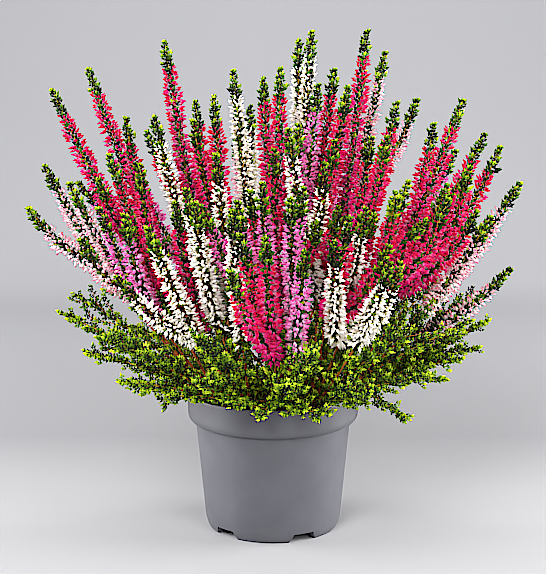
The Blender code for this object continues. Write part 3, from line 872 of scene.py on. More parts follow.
@dataclass(frozen=True)
class LeafForms:
    """The leafy shapes that are stamped: a scale leaf, short shoots, side branches and risers."""

    leaf_length: float = 2.9
    leaf_width: float = 1.95
    leaf_thick: float = 1.5
    leaf_tilt: Span = (30.0, 46.0)
    shoot_length: float = 8.4
    arm_length: float = 5.6
    branch_length: float = 24.0
    branch_radius: float = 0.38
    branch_reach: float = 7.0
    branch_tilt: Span = (36.0, 50.0)
    branch_ranks: tuple[float, ...] = (0.0, 180.0, 90.0, 0.0, 180.0, 0.0, 180.0, 270.0)
    side_pitch: float = 2.5
    riser_length: float = 38.0
    riser_radius: float = 0.45
    riser_tilt: Span = (30.0, 60.0)
    riser_leaf: Span = (3.0, 4.6)
    riser_pitch: float = 0.95
    riser_turn: float = 2.5
    riser_bend: float = 0.4
    bends: tuple[float, ...] = (0.0, 0.1, 0.2, 0.28)

    def leaf(self) -> Form:
        """Builds a scale leaf 1 mm long: broad near its foot, with a keel below and a blunt tip.

        Returns:
            The form.
        """
        wide = 0.5 * self.leaf_width / self.leaf_length
        thick = self.leaf_thick / self.leaf_length
        edge, keel, tip = 0.3 * thick, -0.7 * thick, 0.1 * thick
        points = ((-wide, edge, 0.3), (wide, edge, 0.3), (0.0, keel, 0.24), (0.0, tip, 1.0))
        faces = ((0, 1, 2), (0, 3, 1), (1, 3, 2), (2, 3, 0))
        # The keel point below is darker than the edges: painted shade on the leaf's underside.
        return Form.plain(points, faces, along=(0.0, 0.0, 0.0, 1.0), age=(0.86, 0.86, 0.55, 1.0))

    def shoot(self, rng: np.random.Generator, pairs: int, length: float) -> Form:
        """Builds a short shoot with its leaves in four ranks, dark with painted shade at its foot and fresh
        at its end.

        Args:
            rng: Where the small differences come from.
            pairs: How many pairs of leaves it has.
            length: Its length.

        Returns:
            The form.
        """
        heap = Heap()
        many = pairs * 2
        height = np.repeat(np.linspace(0.3, length - self.leaf_length, pairs), 2)
        turns = np.tile([0.0, math.pi], pairs) + np.repeat(np.arange(pairs) * math.pi / 2, 2)
        turns += rng.uniform(-0.3, 0.3, many)
        radial, direction = fan(turns, np.radians(rng.uniform(*self.leaf_tilt, many)))
        places = height[:, None] * UPRIGHT + 0.25 * radial
        sizes = self.leaf_length * rng.uniform(0.85, 1.12, many)
        # Darker towards the foot: painted shade where the shoot sits in the foliage, and fresh growth at
        # its end.
        youth = 0.22 + 0.84 * height / length
        heap.stamp(self.leaf(), places, frames_along(direction, radial), sizes, youth)
        top = (length - self.leaf_length * 1.1) * UPRIGHT
        end = frames_along(np.array([[0.12, 0.05, 1.0]]), SIDEWAYS)
        heap.stamp(self.leaf(), top, end, np.array([self.leaf_length * 1.15]))
        return heap.form()

    def axis(self, length: float, radius: float) -> tuple[Array, Array]:
        """Builds a thin three-sided axis that tapers to a point.

        Args:
            length: Its length.
            radius: Its radius at the foot.

        Returns:
            Its points and triangles.
        """
        low, high = -0.6 * radius, 1.1 * radius
        points = np.array([(-radius, low, 0.0), (radius, low, 0.0), (0.0, high, 0.0), (0.0, 0.0, length)])
        return points, np.array([(0, 2, 1), (0, 1, 3), (1, 2, 3), (2, 0, 3)])

    def branch(self, rng: np.random.Generator) -> Form:
        """Builds a side branch: a thin axis with short shoots left and right, and fewer up and down.

        Args:
            rng: Where the small differences come from.

        Returns:
            The form, with its bark in material place 1.
        """
        heap = Heap()
        length, reach = self.branch_length, self.branch_reach
        heap.add(*self.axis(length - 1.0, self.branch_radius), age=0.8, slot=1)
        at = np.arange(2.0, length - 0.7 * reach, self.side_pitch)
        many = len(at)
        ranks = np.radians(self.branch_ranks)
        turns = ranks[np.arange(many) % len(ranks)] + rng.uniform(-0.3, 0.3, many)
        radial, direction = fan(math.pi / 2 - turns, np.radians(rng.uniform(*self.branch_tilt, many)))
        part = at / length
        across = np.where(np.abs(np.cos(turns)) > 0.7, 1.0, 0.62)
        swell = np.interp(part, [0.0, 0.3, 1.0], [0.75, 1.05, 0.5])
        sizes = across * swell * rng.uniform(0.8, 1.12, many)
        # Darker towards the branch's foot: painted shade among the foliage, and fresher towards its end.
        frames, youth = frames_along(direction, radial), 0.55 + 0.45 * part
        heap.stamp(self.shoot(rng, 3, reach), at[:, None] * UPRIGHT, frames, sizes, youth)
        end = frames_along(UPRIGHT, SIDEWAYS)
        heap.stamp(self.shoot(rng, 4, reach), (length - reach) * UPRIGHT, end, np.ones(1))
        return heap.form()

    def riser(self, rng: np.random.Generator) -> Form:
        """Builds a long thin shoot with single leaves, as they fill the gaps between spikes.

        Args:
            rng: Where the small differences come from.

        Returns:
            The form, with its bark in material place 1.
        """
        heap = Heap()
        length = self.riser_length
        heap.add(*self.axis(length - 1.0, self.riser_radius), age=0.4, slot=1)
        at = np.arange(1.0, length - 2.0, self.riser_pitch)
        many = len(at)
        turns = self.riser_turn * np.arange(many) + rng.uniform(-0.4, 0.4, many)
        radial, direction = fan(turns, np.radians(rng.uniform(*self.riser_tilt, many)))
        sizes = rng.uniform(*self.riser_leaf, many)
        sizes = sizes * np.interp(at / length, [0.0, 0.6, 1.0], [1.0, 1.0, 0.6])
        # Darker low on the riser: painted shade inside the plant, and fresher towards its end.
        youth = 0.45 + 0.5 * (at / length) ** 2
        heap.stamp(self.leaf(), at[:, None] * UPRIGHT, frames_along(direction, radial), sizes, youth)
        return heap.form()

    def kit(self, rng: np.random.Generator) -> dict[Leafy, list[Form]]:
        """Builds a few forms of each kind, each bent a little more than the last.

        Args:
            rng: Where the small differences come from.

        Returns:
            The forms by their kind.
        """
        return {
            Leafy.BRANCH: [bent(self.branch(rng), bend) for bend in self.bends],
            Leafy.RISER: [bent(self.riser(rng), self.riser_bend * bend) for bend in self.bends],
            Leafy.SHOOT: [bent(self.shoot(rng, 4, self.shoot_length), bend) for bend in self.bends],
            Leafy.ARM: [bent(self.shoot(rng, 3, self.arm_length), bend) for bend in self.bends],
        }


@dataclass(frozen=True)
class BudForms:
    """The flower buds that are stamped, 1 mm long: closed ones, and ones with their tips parted."""

    sides: int = 4
    belly: float = 0.225
    shoulder: float = 0.18
    belly_height: float = 0.3
    shoulder_height: float = 0.62
    sepals: int = 3
    sepal_width: float = 0.24
    sepal_lean: float = 0.32

    def closed(self) -> Form:
        """Builds a closed bud: a narrow foot, a full belly and a sharp tip.

        Returns:
            The form.
        """
        n = self.sides
        points = [(0.0, 0.0, 0.0)]
        rings = ((self.belly_height, self.belly, 0.0), (self.shoulder_height, self.shoulder, 0.5))
        for height, radius, turn in rings:
            for k in range(n):
                angle = TURN * (k + turn) / n
                points.append((radius * math.cos(angle), radius * math.sin(angle), height))
        points.append((0.0, 0.0, 1.0))
        faces = []
        for k in range(n):
            j = (k + 1) % n
            faces += [(0, 1 + j, 1 + k), (1 + k, 1 + j, 1 + n + k), (1 + j, 1 + n + j, 1 + n + k)]
            faces.append((1 + n + k, 1 + n + j, 1 + 2 * n))
        return Form.plain(points, faces, along=[z for _, _, z in points], smooth=True)

    def parted(self) -> Form:
        """Builds a bud whose sepals stand a little apart at their tips.

        Returns:
            The form.
        """
        wide = self.sepal_width
        edges = ((-wide, 0.04, 0.4), (wide, 0.04, 0.4))
        points = (*edges, (0.0, 0.02, 0.0), (0.0, 0.12, 0.36), (0.0, 0.0, 1.0))
        faces = ((2, 0, 1), (0, 4, 1), (2, 3, 0), (2, 1, 3), (0, 3, 4), (1, 4, 3))
        sepal = Form.plain(points, faces, along=(0.4, 0.4, 0.0, 0.4, 1.0))
        radial, _ = fan(TURN * (np.arange(self.sepals) + 0.5) / self.sepals, np.zeros(self.sepals))
        frames = frames_along(UPRIGHT + self.sepal_lean * radial, radial)
        heap = Heap()
        heap.stamp(sepal, 0.02 * radial, frames, np.ones(self.sepals))
        return heap.form()


@dataclass
class Growth:
    """The rule by which all stems grow and bend clear of each other, the same as in the CAD part."""

    stem_start_z: float = 91.0
    stem_spread: float = 2.6
    tip_length: float = 21.0
    fork_rise: float = 5.0
    sprig_bare: float = 0.3
    rounds: int = 60
    push: float = 0.45
    stiff: float = 0.35
    homing: float = 0.03
    hold_ramp: float = 4.0
    rooted: int = 2
    fork_soft: float = 25.0
    fork_room: float = 40.0
    clear: float = 0.8
    flower_keep: float = 7.3
    tip_keep: float = 3.4
    leafy_keep: float = 4.6
    stem_keep: float = 1.5
    sprig_keep: float = 5.5
    lowest: float = 103.0
    over_rim: float = 56.0
    rim_clear: float = 66.3
    leafy_from: float = 0.35
    side_bare: float = 3.0
    least_bare: float = 28.0
    side_bend: tuple[float, ...] = (0.72, 0.72, 0.42)
    spike_bend: tuple[float, ...] = (0.62, 0.62, 0.42)
    sprig_arch: float = 9.0
    sprays: dict[tuple[str, int], tuple[Colour, list[Shoot]]] = field(default_factory=dict)
    skirt: list[Shoot] = field(default_factory=list)

    def grow(self) -> None:
        """Grows every spray and sprig, then bends them clear."""
        for crown, (place, rows) in CUTTINGS.items():
            for number, (colour, spikes) in enumerate(rows, 1):
                shoots: list[Shoot] = []
                for x, y, z, bloom in spikes:
                    parent = shoots[0] if shoots else None
                    shoots.append(Shoot(self, crown, place, (x, y, z), bloom, parent))
                self.sprays[crown, number] = (colour, shoots)
        self.skirt = self.leafy_skirt()
        everything = [shoot for _, shoots in self.sprays.values() for shoot in shoots] + self.skirt
        self.bend_clear(everything)

    def leafy_skirt(self) -> list[Shoot]:
        """Draws the leafy sprigs, each from the crown that stands nearest its own bearing.

        Returns:
            The sprigs.
        """
        draw = random.Random(SEED)
        tips = [*HANGING, *LOW_RIGHT]
        for count, reach, height, first in SKIRT_RINGS:
            for k in range(count):
                turn, out, lift = (draw.uniform(-j, j) for j in SKIRT_JITTER)
                bearing = math.radians(first + (360 * k + turn * 2) / count)
                far = reach + out
                tips.append((far * math.cos(bearing), far * math.sin(bearing), height + lift))
        shoots = []
        for tip in tips:
            share = SKIRT_ROOT_REACH / math.hypot(tip[0], tip[1])
            wanted = (tip[0] * share, tip[1] * share)
            crown = min(CUTTINGS, key=lambda name: math.dist(CUTTINGS[name][0], wanted))
            shoots.append(Shoot(self, crown, CUTTINGS[crown][0], tip))
        return shoots

    def soft_start(self, arc: Array) -> Array:
        """Weighs how much two forked spikes have to keep apart.

        Args:
            arc: Distances from the fork.

        Returns:
            0 at the fork and 1 where both have had room to part.
        """
        return np.clip((arc - self.fork_soft) / self.fork_room, 0.0, 1.0).astype(np.float32)

    def wanted_gaps(self, shoots: list[Shoot]) -> Array:
        """Works out the distance that each pair of samples has to keep.

        Args:
            shoots: All shoots.

        Returns:
            A square array, 0 where the two may touch.
        """
        keep = np.concatenate([s.keeps() for s in shoots]).astype(np.float32)
        flower = np.concatenate([s.in_flower() for s in shoots])
        owner = np.repeat(np.arange(len(shoots)), SAMPLES)
        names = list(CUTTINGS)
        crown = np.repeat([names.index(s.crown) for s in shoots], SAMPLES)
        need = keep[:, None] + keep[None, :] + self.clear
        need[(crown[:, None] == crown[None, :]) & ~(flower[:, None] | flower[None, :])] = 0.0
        need[owner[:, None] == owner[None, :]] = 0.0
        for i, shoot in enumerate(shoots):
            if shoot.parent is None:
                continue
            own = self.soft_start(Path(shoot.points).arc)
            mine = slice(i * SAMPLES, (i + 1) * SAMPLES)
            for j, theirs in self.kin_of(shoot, shoots[:i]).items():
                other = slice(j * SAMPLES, (j + 1) * SAMPLES)
                both = np.minimum(own[:, None], theirs[None, :])
                need[mine, other] *= both
                need[other, mine] *= both.T
        return need

    def kin_of(self, shoot: Shoot, earlier: list[Shoot]) -> dict[int, Array]:
        """Finds the spikes that a side spike shares its fork with.

        Args:
            shoot: The side spike.
            earlier: The shoots that come before it.

        Returns:
            Softened distances from the fork, by the place of each in the list.
        """
        main = Path(shoot.parent.points).arc
        kin = {}
        for j, other in enumerate(earlier):
            if other is shoot.parent:
                kin[j] = self.soft_start(main - main[shoot.fork])
            elif other.parent is shoot.parent:
                kin[j] = self.soft_start(Path(other.points).arc)
        return kin

    def pushes(self, points: Array, need: Array) -> Array:
        """Finds how far its closest neighbours push each sample.

        Args:
            points: All samples.
            need: The distances that wanted_gaps gives.

        Returns:
            A move for each sample.
        """
        square = (points**2).sum(axis=1)
        far2 = square[:, None] + square[None, :] - 2 * points @ points.T
        first, second = np.nonzero(far2 < need * need)
        gap = points[first] - points[second]
        far = np.maximum(np.linalg.norm(gap, axis=1), 0.3)
        move = gap * ((need[first, second] - far) / far).clip(0.0)[:, None]
        most = np.zeros_like(points)
        least = np.zeros_like(points)
        np.maximum.at(most, first, move)
        np.minimum.at(least, first, move)
        return most + least

    def bend_clear(self, shoots: list[Shoot]) -> None:
        """Pushes the shoots apart for a set number of rounds, with their roots held.

        Args:
            shoots: All shoots, whose points are changed.
        """
        ramp = np.clip(np.linspace(0.0, self.hold_ramp, SAMPLES), 0.0, 1.0)
        hold = np.tile(ramp, len(shoots))[:, None]
        need = self.wanted_gaps(shoots)
        for turn in range(self.rounds):
            if turn % 10 == 0:
                need = self.wanted_gaps(shoots)
            points = np.concatenate([s.points for s in shoots])
            points = points + self.push * self.pushes(points, need) * hold
            for i, shoot in enumerate(shoots):
                line = points[i * SAMPLES : (i + 1) * SAMPLES]
                line[1:-1] += self.stiff * ((line[:-2] + line[2:]) / 2 - line[1:-1])
                line[1:] += self.homing * (shoot.home[1:] - line[1:])
                reach = np.hypot(line[:, 0], line[:, 1])
                floor = self.lowest - np.clip((self.over_rim - reach) / 2, 0.0, 8.0)
                inside = (reach < self.rim_clear) & (np.arange(SAMPLES) > self.rooted)
                line[inside, 2] = np.maximum(line[inside, 2], floor[inside])
                shoot.points = line if shoot.parent else resample(line)
            for shoot in shoots:
                if shoot.parent is not None:
                    shoot.points[0] = shoot.parent.points[shoot.fork]


def resample(points: Array) -> Array:
    """Spaces points evenly along their line.

    Args:
        points: Points along a line.

    Returns:
        As many as SAMPLES of them.
    """
    steps = np.linalg.norm(np.diff(points, axis=0), axis=1)
    arc = np.concatenate([[0.0], np.cumsum(steps)])
    at = np.linspace(0.0, arc[-1], SAMPLES)
    return np.stack([np.interp(at, arc, points[:, k]) for k in range(3)], axis=1)


def bezier(start: Array, bend: Array, end: Array) -> Array:
    """Draws a curve that leaves its start towards the bend.

    Args:
        start: Its first point.
        bend: The point that pulls it.
        end: Its last point.

    Returns:
        As many as SAMPLES points.
    """
    t = np.linspace(0.0, 1.0, SAMPLES)[:, None]
    return (1 - t) ** 2 * start + 2 * t * (1 - t) * bend + t**2 * end


class Shoot:
    """One stem: a flower spike, a side spike that forks from another, or a leafy sprig."""

    def __init__(
        self,
        rule: Growth,
        crown: str,
        place: Span,
        tip: tuple[float, float, float],
        bloom: float = 0.0,
        parent: Shoot | None = None,
    ) -> None:
        """Draws the stem from its root or fork to its tip.

        Args:
            rule: The rule that it grows by.
            crown: The node of the cutting that it grows from.
            place: Where that cutting stands.
            tip: Where its tip is.
            bloom: The length of the stretch in flower, or 0 for a leafy sprig.
            parent: The spike that it forks from, if any.
        """
        self.rule = rule
        self.crown = crown
        self.bloom = bloom
        self.parent = parent
        self.tip = np.array(tip, float)
        self.fork = 0
        if parent is None:
            start = np.asarray(place, float)
            away = self.tip[:2] - start
            away /= max(np.linalg.norm(away), 1.0)
            base = np.array([*(start + away * rule.stem_spread), rule.stem_start_z])
        else:
            path = Path(parent.points)
            at = parent.bloom_start(path) + rule.fork_rise
            self.fork = int(np.argmin(np.abs(path.arc - at)))
            base = parent.points[self.fork].copy()
        rise = self.tip - base
        if parent is not None:
            bend = base + rise * np.array(rule.side_bend)
        elif bloom:
            bend = base + rise * np.array(rule.spike_bend)
        else:
            bend = base + rise * 0.5 + np.array([0.0, 0.0, rule.sprig_arch])
        self.points = resample(bezier(base, bend, self.tip))
        self.home = self.points.copy()

    def bloom_start(self, path: Path) -> float:
        """Finds where the flowers begin.

        Args:
            path: The shoot's own path.

        Returns:
            The distance along it.
        """
        if self.parent is not None:
            return self.rule.side_bare
        return max(path.length - self.rule.tip_length - self.bloom, self.rule.least_bare)

    def keeps(self) -> Array:
        """Works out how far the stem has to stay from other shoots.

        Returns:
            A distance for each sample.
        """
        path = Path(self.points)
        keep = np.full(SAMPLES, self.rule.stem_keep)
        if not self.bloom:
            keep[path.arc > self.rule.sprig_bare * path.length] = self.rule.sprig_keep
            return keep
        start = self.bloom_start(path)
        keep[(path.arc > self.rule.leafy_from * start) & (path.arc < start)] = self.rule.leafy_keep
        keep[path.arc >= start] = self.rule.flower_keep
        keep[path.arc > path.length - self.rule.tip_length] = self.rule.tip_keep
        return keep

    def in_flower(self) -> Array:
        """Finds the stretch that is in flower.

        Returns:
            For each sample, whether it is among the flowers.
        """
        if not self.bloom:
            return np.zeros(SAMPLES, bool)
        path = Path(self.points)
        return (path.arc >= self.bloom_start(path)) & (path.arc <= path.length - self.rule.tip_length)


@dataclass
class FlowerSpray:
    """The buds of one spray, round one stem or round two or three that fork."""

    name: str
    colour: Colour
    shoots: list[Shoot]
    finish: bpy.types.Material
    buds: BudForms = field(default_factory=BudForms)
    nodes_a_mm: float = 1.4
    buds_a_node: float = 2.4
    ranks: int = 5
    twist_a_mm: float = 0.014
    bud_length: float = 5.4
    foot_radius: float = 3.0
    top_shrink: float = 0.75
    shrink_from: float = 0.75
    parted_share: float = 0.2
    parted_low: float = 1.3
    tilts: Curve = ((0.0, 0.3, 0.8, 1.0), (100.0, 92.0, 80.0, 52.0))
    tilt_jitter: float = 20.0
    bud_sizes: Span = (0.75, 1.1)
    foot_reach: Span = (0.55, 1.2)
    node_jitter: float = 0.4
    bearing_jitter: float = 0.2
    bud_shift: float = 1.0
    bud_sway: float = 0.42
    filled_low: float = 0.6
    filled_rise: float = 5.0
    filled_most: float = 0.96

    def build(self) -> bpy.types.Object:
        """Builds the piece and dresses it.

        Returns:
            The piece.
        """
        rng = np.random.default_rng(list(self.name.encode()))
        heap = Heap()
        for shoot in self.shoots:
            self.spike(heap, shoot, rng)
        made = heap.piece(self.name + "_buds", [self.finish])
        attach(made, "root")
        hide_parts(self.name)
        return made

    def spike(self, heap: Heap, shoot: Shoot, rng: np.random.Generator) -> None:
        """Sets the buds round one spike.

        Args:
            heap: Where they are gathered.
            shoot: The spike.
            rng: Where the small differences come from.
        """
        path = Path(shoot.points)
        start = shoot.bloom_start(path)
        end = path.length - shoot.rule.tip_length
        nodes = int((end - start) * self.nodes_a_mm)
        place_of = (np.arange(nodes) + 0.5) / nodes
        heights = start + (end - start) * place_of + rng.uniform(-self.node_jitter, self.node_jitter, nodes)
        bearings = 2 * TURN / self.ranks * np.arange(nodes) + self.twist_a_mm * heights
        bearings = bearings + rng.uniform(0.0, TURN)
        bearings = bearings + rng.uniform(-self.bearing_jitter, self.bearing_jitter, nodes)
        count = np.floor(self.buds_a_node + rng.random(nodes)).astype(int)
        filled = np.clip(self.filled_low + self.filled_rise * place_of, 0.0, self.filled_most)
        count[rng.random(nodes) > filled] = 0
        owner = np.repeat(np.arange(nodes), count)
        many = len(owner)
        part = place_of[owner]
        at = heights[owner] + rng.uniform(-self.bud_shift, self.bud_shift, many)
        turns = bearings[owner] + rng.uniform(-self.bud_sway, self.bud_sway, many)
        tilts = np.radians(np.interp(part, *self.tilts))
        tilts = tilts + np.radians(rng.uniform(-self.tilt_jitter, self.tilt_jitter, many))
        near_top = np.clip((part - self.shrink_from) / (1.0 - self.shrink_from), 0.0, 1.0)
        shrink = 1.0 - (1.0 - self.top_shrink) * near_top
        lengths = self.bud_length * shrink * rng.uniform(*self.bud_sizes, many)
        out = self.foot_radius * shrink * rng.uniform(*self.foot_reach, many)
        places, directions = path.around(at, turns, tilts, out)
        frames = frames_along(directions, path.read(at)[3] + 0.02)
        tone = rng.random(many)
        parted = rng.random(many) < self.parted_share * (self.parted_low - part)
        for form, mask in ((self.buds.closed(), ~parted), (self.buds.parted(), parted)):
            heap.stamp(form, places[mask], frames[mask], lengths[mask], part[mask], tone[mask])


@dataclass(frozen=True)
class Stalk:
    """How a stem looks: its radii along its length, its mesh, and its age at the foot and the gain.

    It stops short of the path's end, where the leaves hide it.
    """

    taper: Curve
    rings: int
    sides: int
    short: float
    age: Span


@dataclass(frozen=True)
class Habit:
    """How one kind of growth stands on its stem.

    Tilts are in degrees from the stem, and out is how far from its middle each one starts. Sizes
    are scales, which the swell varies along the stretch. Ages follow the light, times a share drawn
    from fade if there is one, unless they have a range of their own.
    """

    kind: Leafy
    tilt: Span
    size: Span
    out: float = 0.4
    swell: Curve = ((0.0,), (1.0,))
    fade: Span | None = None
    age: Span | None = None


@dataclass
class Cutting:
    """One rooted cutting: a woody stump, its stems, their green tips and its leafy sprigs."""

    name: str
    place: Span
    shoots: list[Shoot]
    sprigs: list[Shoot]
    finishes: list[bpy.types.Material]
    leaves: LeafForms = field(default_factory=LeafForms)
    heap: Heap = field(default_factory=Heap)
    stump_radius: float = 4.6
    stump_low: float = 76.0
    stump_top: float = 93.5
    stump_taper: Curve = ((0.0, 4.0, 14.5, 17.5), (0.7, 0.85, 0.95, 0.6))
    spike_stalk: Stalk = Stalk(((0.0, 0.3, 0.85, 1.0), (1.15, 0.8, 0.6, 0.4)), 22, 5, 1.5, (0.38, 0.5))
    sprig_stalk: Stalk = Stalk(((0.0, 0.5, 1.0), (0.95, 0.65, 0.3)), 18, 4, 3.0, (0.35, 0.65))
    stem_shoot_pitch: float = 5.0
    stem_shoot: Habit = Habit(Leafy.SHOOT, tilt=(30.0, 58.0), size=(0.75, 1.3))
    laterals_a_stem: int = 2
    lateral: Habit = Habit(Leafy.BRANCH, tilt=(28.0, 60.0), size=(0.75, 1.15))
    risers_a_stem: int = 1
    riser: Habit = Habit(Leafy.RISER, tilt=(8.0, 20.0), size=(0.8, 1.2), age=(0.4, 0.85))
    basal: int = 6
    sprig_shoot_pitch: float = 2.8
    sprig_shoot: Habit = Habit(
        Leafy.SHOOT,
        tilt=(38.0, 56.0),
        size=(0.8, 1.15),
        out=0.2,
        swell=((0.0, 0.4, 0.8, 1.0), (0.9, 1.15, 1.05, 0.6)),
        fade=(0.75, 1.0),
    )
    sprig_ranks: tuple[float, ...] = (0.0, 180.0, 90.0, 0.0, 180.0, 270.0)
    sprig_branch_pitch: float = 7.2
    sprig_branch: Habit = Habit(
        Leafy.BRANCH,
        tilt=(28.0, 44.0),
        size=(0.8, 1.12),
        out=0.3,
        swell=((0.0, 0.35, 1.0), (0.75, 1.0, 0.7)),
        fade=(0.8, 1.0),
    )
    basal_tilt: Span = (35.0, 72.0)
    basal_size: Span = (0.8, 1.25)
    basal_age: Span = (0.85, 1.0)
    arm_pitch: float = 1.6
    arm_tilt: Span = (44.0, -20.0)
    arm_size: Span = (0.85, 1.15)
    arm_swell: Curve = ((0.0, 0.2, 0.6, 1.0), (1.1, 1.3, 1.0, 0.6))
    arm_youth: Span = (-0.15, 0.25)
    end_arm_tilts: tuple[float, ...] = (8.0, 12.0, 16.0)
    end_arm_size: float = 0.72
    bract_pitch: float = 0.62
    bract_tilt: Span = (34.0, 66.0)
    bract_length: Span = (2.8, 4.8)
    bract_age: float = 0.4
    fresh_bracts: float = 0.12
    youth_jitter: Span = (-0.22, 0.14)
    # Painted light and shade in the leaf colour: brighter low down and far out, darker up among the spikes
    # and near the middle.
    light_by_height: Curve = ((95.0, 135.0, 180.0, 240.0), (1.0, 0.95, 0.72, 0.45))
    light_by_reach: Curve = ((15.0, 45.0, 75.0), (0.4, 0.8, 1.0))
    rng: np.random.Generator = field(init=False)
    forms: dict[Leafy, list[Form]] = field(init=False)

    def __post_init__(self) -> None:
        """Seeds the draws with the cutting's own name and builds the forms that it stamps."""
        self.rng = np.random.default_rng(list(self.name.encode()))
        self.forms = self.leaves.kit(self.rng)

    def build(self) -> bpy.types.Object:
        """Builds the piece and dresses it.

        Returns:
            The piece.
        """
        self.stump()
        for shoot in self.shoots:
            path = Path(shoot.points)
            self.stalk(path, self.spike_stalk)
            self.green_tip(path, shoot.rule.tip_length)
            self.bracts(path, shoot)
            if shoot.parent is None:
                self.stem_growth(path, shoot.bloom_start(path))
        self.basal_laterals()
        for sprig in self.sprigs:
            self.sprig(Path(sprig.points), sprig.rule.sprig_bare)
        made = self.heap.piece(self.name + "_green", self.finishes)
        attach(made, "root")
        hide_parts(self.name)
        return made

    def stump(self) -> None:
        """Adds the woody stump, which swells and narrows in knots along its height."""
        x, y = self.place
        line = Path(np.array([(x, y, self.stump_low), (x, y, self.stump_top)]))
        at = np.linspace(0.0, line.length, 9)
        knots = 1.0 - 0.12 * np.cos(at * 1.1)
        points, faces = line.tube(at, self.stump_radius * np.interp(at, *self.stump_taper) * knots, 10)
        self.heap.add(points, faces, age=0.05, slot=1)

    def stalk(self, path: Path, look: Stalk) -> None:
        """Adds one stem, thinner and greener towards its tip.

        Args:
            path: The stem's line.
            look: How it looks.
        """
        at = np.linspace(0.0, path.length - look.short, look.rings)
        part = at / path.length
        points, faces = path.tube(at, np.interp(part, *look.taper), look.sides)
        age = np.repeat(look.age[0] + look.age[1] * part, look.sides)
        self.heap.add(points, faces, age=age, slot=1)

    def green_tip(self, path: Path, length: float) -> None:
        """Sets the short leafy arms of a spike's green tip.

        Args:
            path: The spike's line.
            length: How long the tip is.
        """
        rng = self.rng
        low = path.length - length - 2.0
        at = np.arange(low, path.length - 3.5, self.arm_pitch)
        part = (at - low) / (path.length - low)
        many = len(at)
        turns = math.pi / 2 * np.arange(many) * 1.5 + rng.uniform(-0.3, 0.3, many)
        lean = self.arm_tilt[0] + self.arm_tilt[1] * part
        tilts = np.radians(lean + rng.uniform(-8.0, 8.0, many))
        sizes = np.interp(part, *self.arm_swell) * rng.uniform(*self.arm_size, many)
        places, directions = path.around(at, turns, tilts, 0.2)
        frames = frames_along(directions, path.read(at)[3])
        age = 0.5 + 0.25 * part**1.5 + rng.uniform(*self.arm_youth, many)
        self.scatter(Leafy.ARM, places, frames, sizes, age)
        tilts = np.radians(self.end_arm_tilts)
        many = len(tilts)
        turns = TURN * np.arange(many) / many
        places, directions = path.around(np.full(many, path.length - 4.2), turns, tilts, 0.1)
        frames = frames_along(directions, np.repeat(path.side[None], many, axis=0))
        self.scatter(Leafy.ARM, places, frames, np.full(many, self.end_arm_size), 0.72)

    def bracts(self, path: Path, shoot: Shoot) -> None:
        """Sets the small leaves between the buds, kept dark as painted shade in the gaps.

        Args:
            path: The spike's line.
            shoot: The spike.
        """
        rng = self.rng
        low = shoot.bloom_start(path) - 4.0
        at = np.arange(low, path.length - shoot.rule.tip_length, self.bract_pitch)
        many = len(at)
        turns = GOLDEN_ANGLE * np.arange(many) + 0.7
        tilts = np.radians(rng.uniform(*self.bract_tilt, many))
        places, directions = path.around(at, turns, tilts, 0.6)
        frames = frames_along(directions, path.read(at)[3])
        sizes = rng.uniform(*self.bract_length, many)
        # Mostly dark: painted shade in the gaps between the buds, with a few fresh ones.
        age = rng.uniform(0.0, self.bract_age, many)
        age = age + self.bract_age * (rng.random(many) < self.fresh_bracts)
        self.heap.stamp(self.leaves.leaf(), places, frames, sizes, age, rng.random(many))

    def youth(self, places: Array) -> Array:
        """Paints light and shade into the leaf colour: brightest low down in the light, darkest among the
        stems.

        Args:
            places: Where each one stands.

        Returns:
            An age for each, painted light and shade with a random tone on top, up to 1 for the brightest.
        """
        height = np.interp(places[:, 2], *self.light_by_height)
        light = np.interp(np.hypot(places[:, 0], places[:, 1]), *self.light_by_reach)
        jitter = self.rng.uniform(*self.youth_jitter, len(places))
        return np.clip(height * light + jitter, 0.0, 1.0)

    def spiral(self, many: int, steps: float = 1.0) -> Array:
        """Returns bearings that wind round a stem by the golden angle, from a drawn first one."""
        return GOLDEN_ANGLE * np.arange(many) * steps + self.rng.uniform(0.0, TURN)

    def stem_growth(self, path: Path, start: float) -> None:
        """Sets short shoots, laterals and risers on a stem below its flowers.

        Args:
            path: The stem's line.
            start: Where its flowers begin.
        """
        rng = self.rng
        at = np.arange(0.12 * start, start + 6.0, self.stem_shoot_pitch)
        at = at + rng.uniform(-0.8, 0.8, len(at))
        self.sprout(path, at, self.spiral(len(at)), self.stem_shoot)
        many = self.laterals_a_stem
        at = start * (0.15 + 0.75 * (np.arange(many) + rng.random(many)) / many)
        self.sprout(path, at, self.spiral(many, 1.2), self.lateral)
        many = self.risers_a_stem
        at = start * rng.uniform(0.55, 0.95, many)
        self.sprout(path, at, rng.uniform(0.0, TURN, many), self.riser)

    def basal_laterals(self) -> None:
        """Sets fresh laterals that rise from the foot of the cutting."""
        rng, many = self.rng, self.basal
        turns = self.spiral(many)
        radial, directions = fan(turns, np.radians(rng.uniform(*self.basal_tilt, many)))
        places = np.array([[*self.place, self.stump_top - 1.0]]) + 2.5 * radial
        places[:, 2] += rng.uniform(0.0, 9.0, many)
        sizes = rng.uniform(*self.basal_size, many)
        age = rng.uniform(*self.basal_age, many)
        self.scatter(Leafy.BRANCH, places, rising(directions), sizes, age)

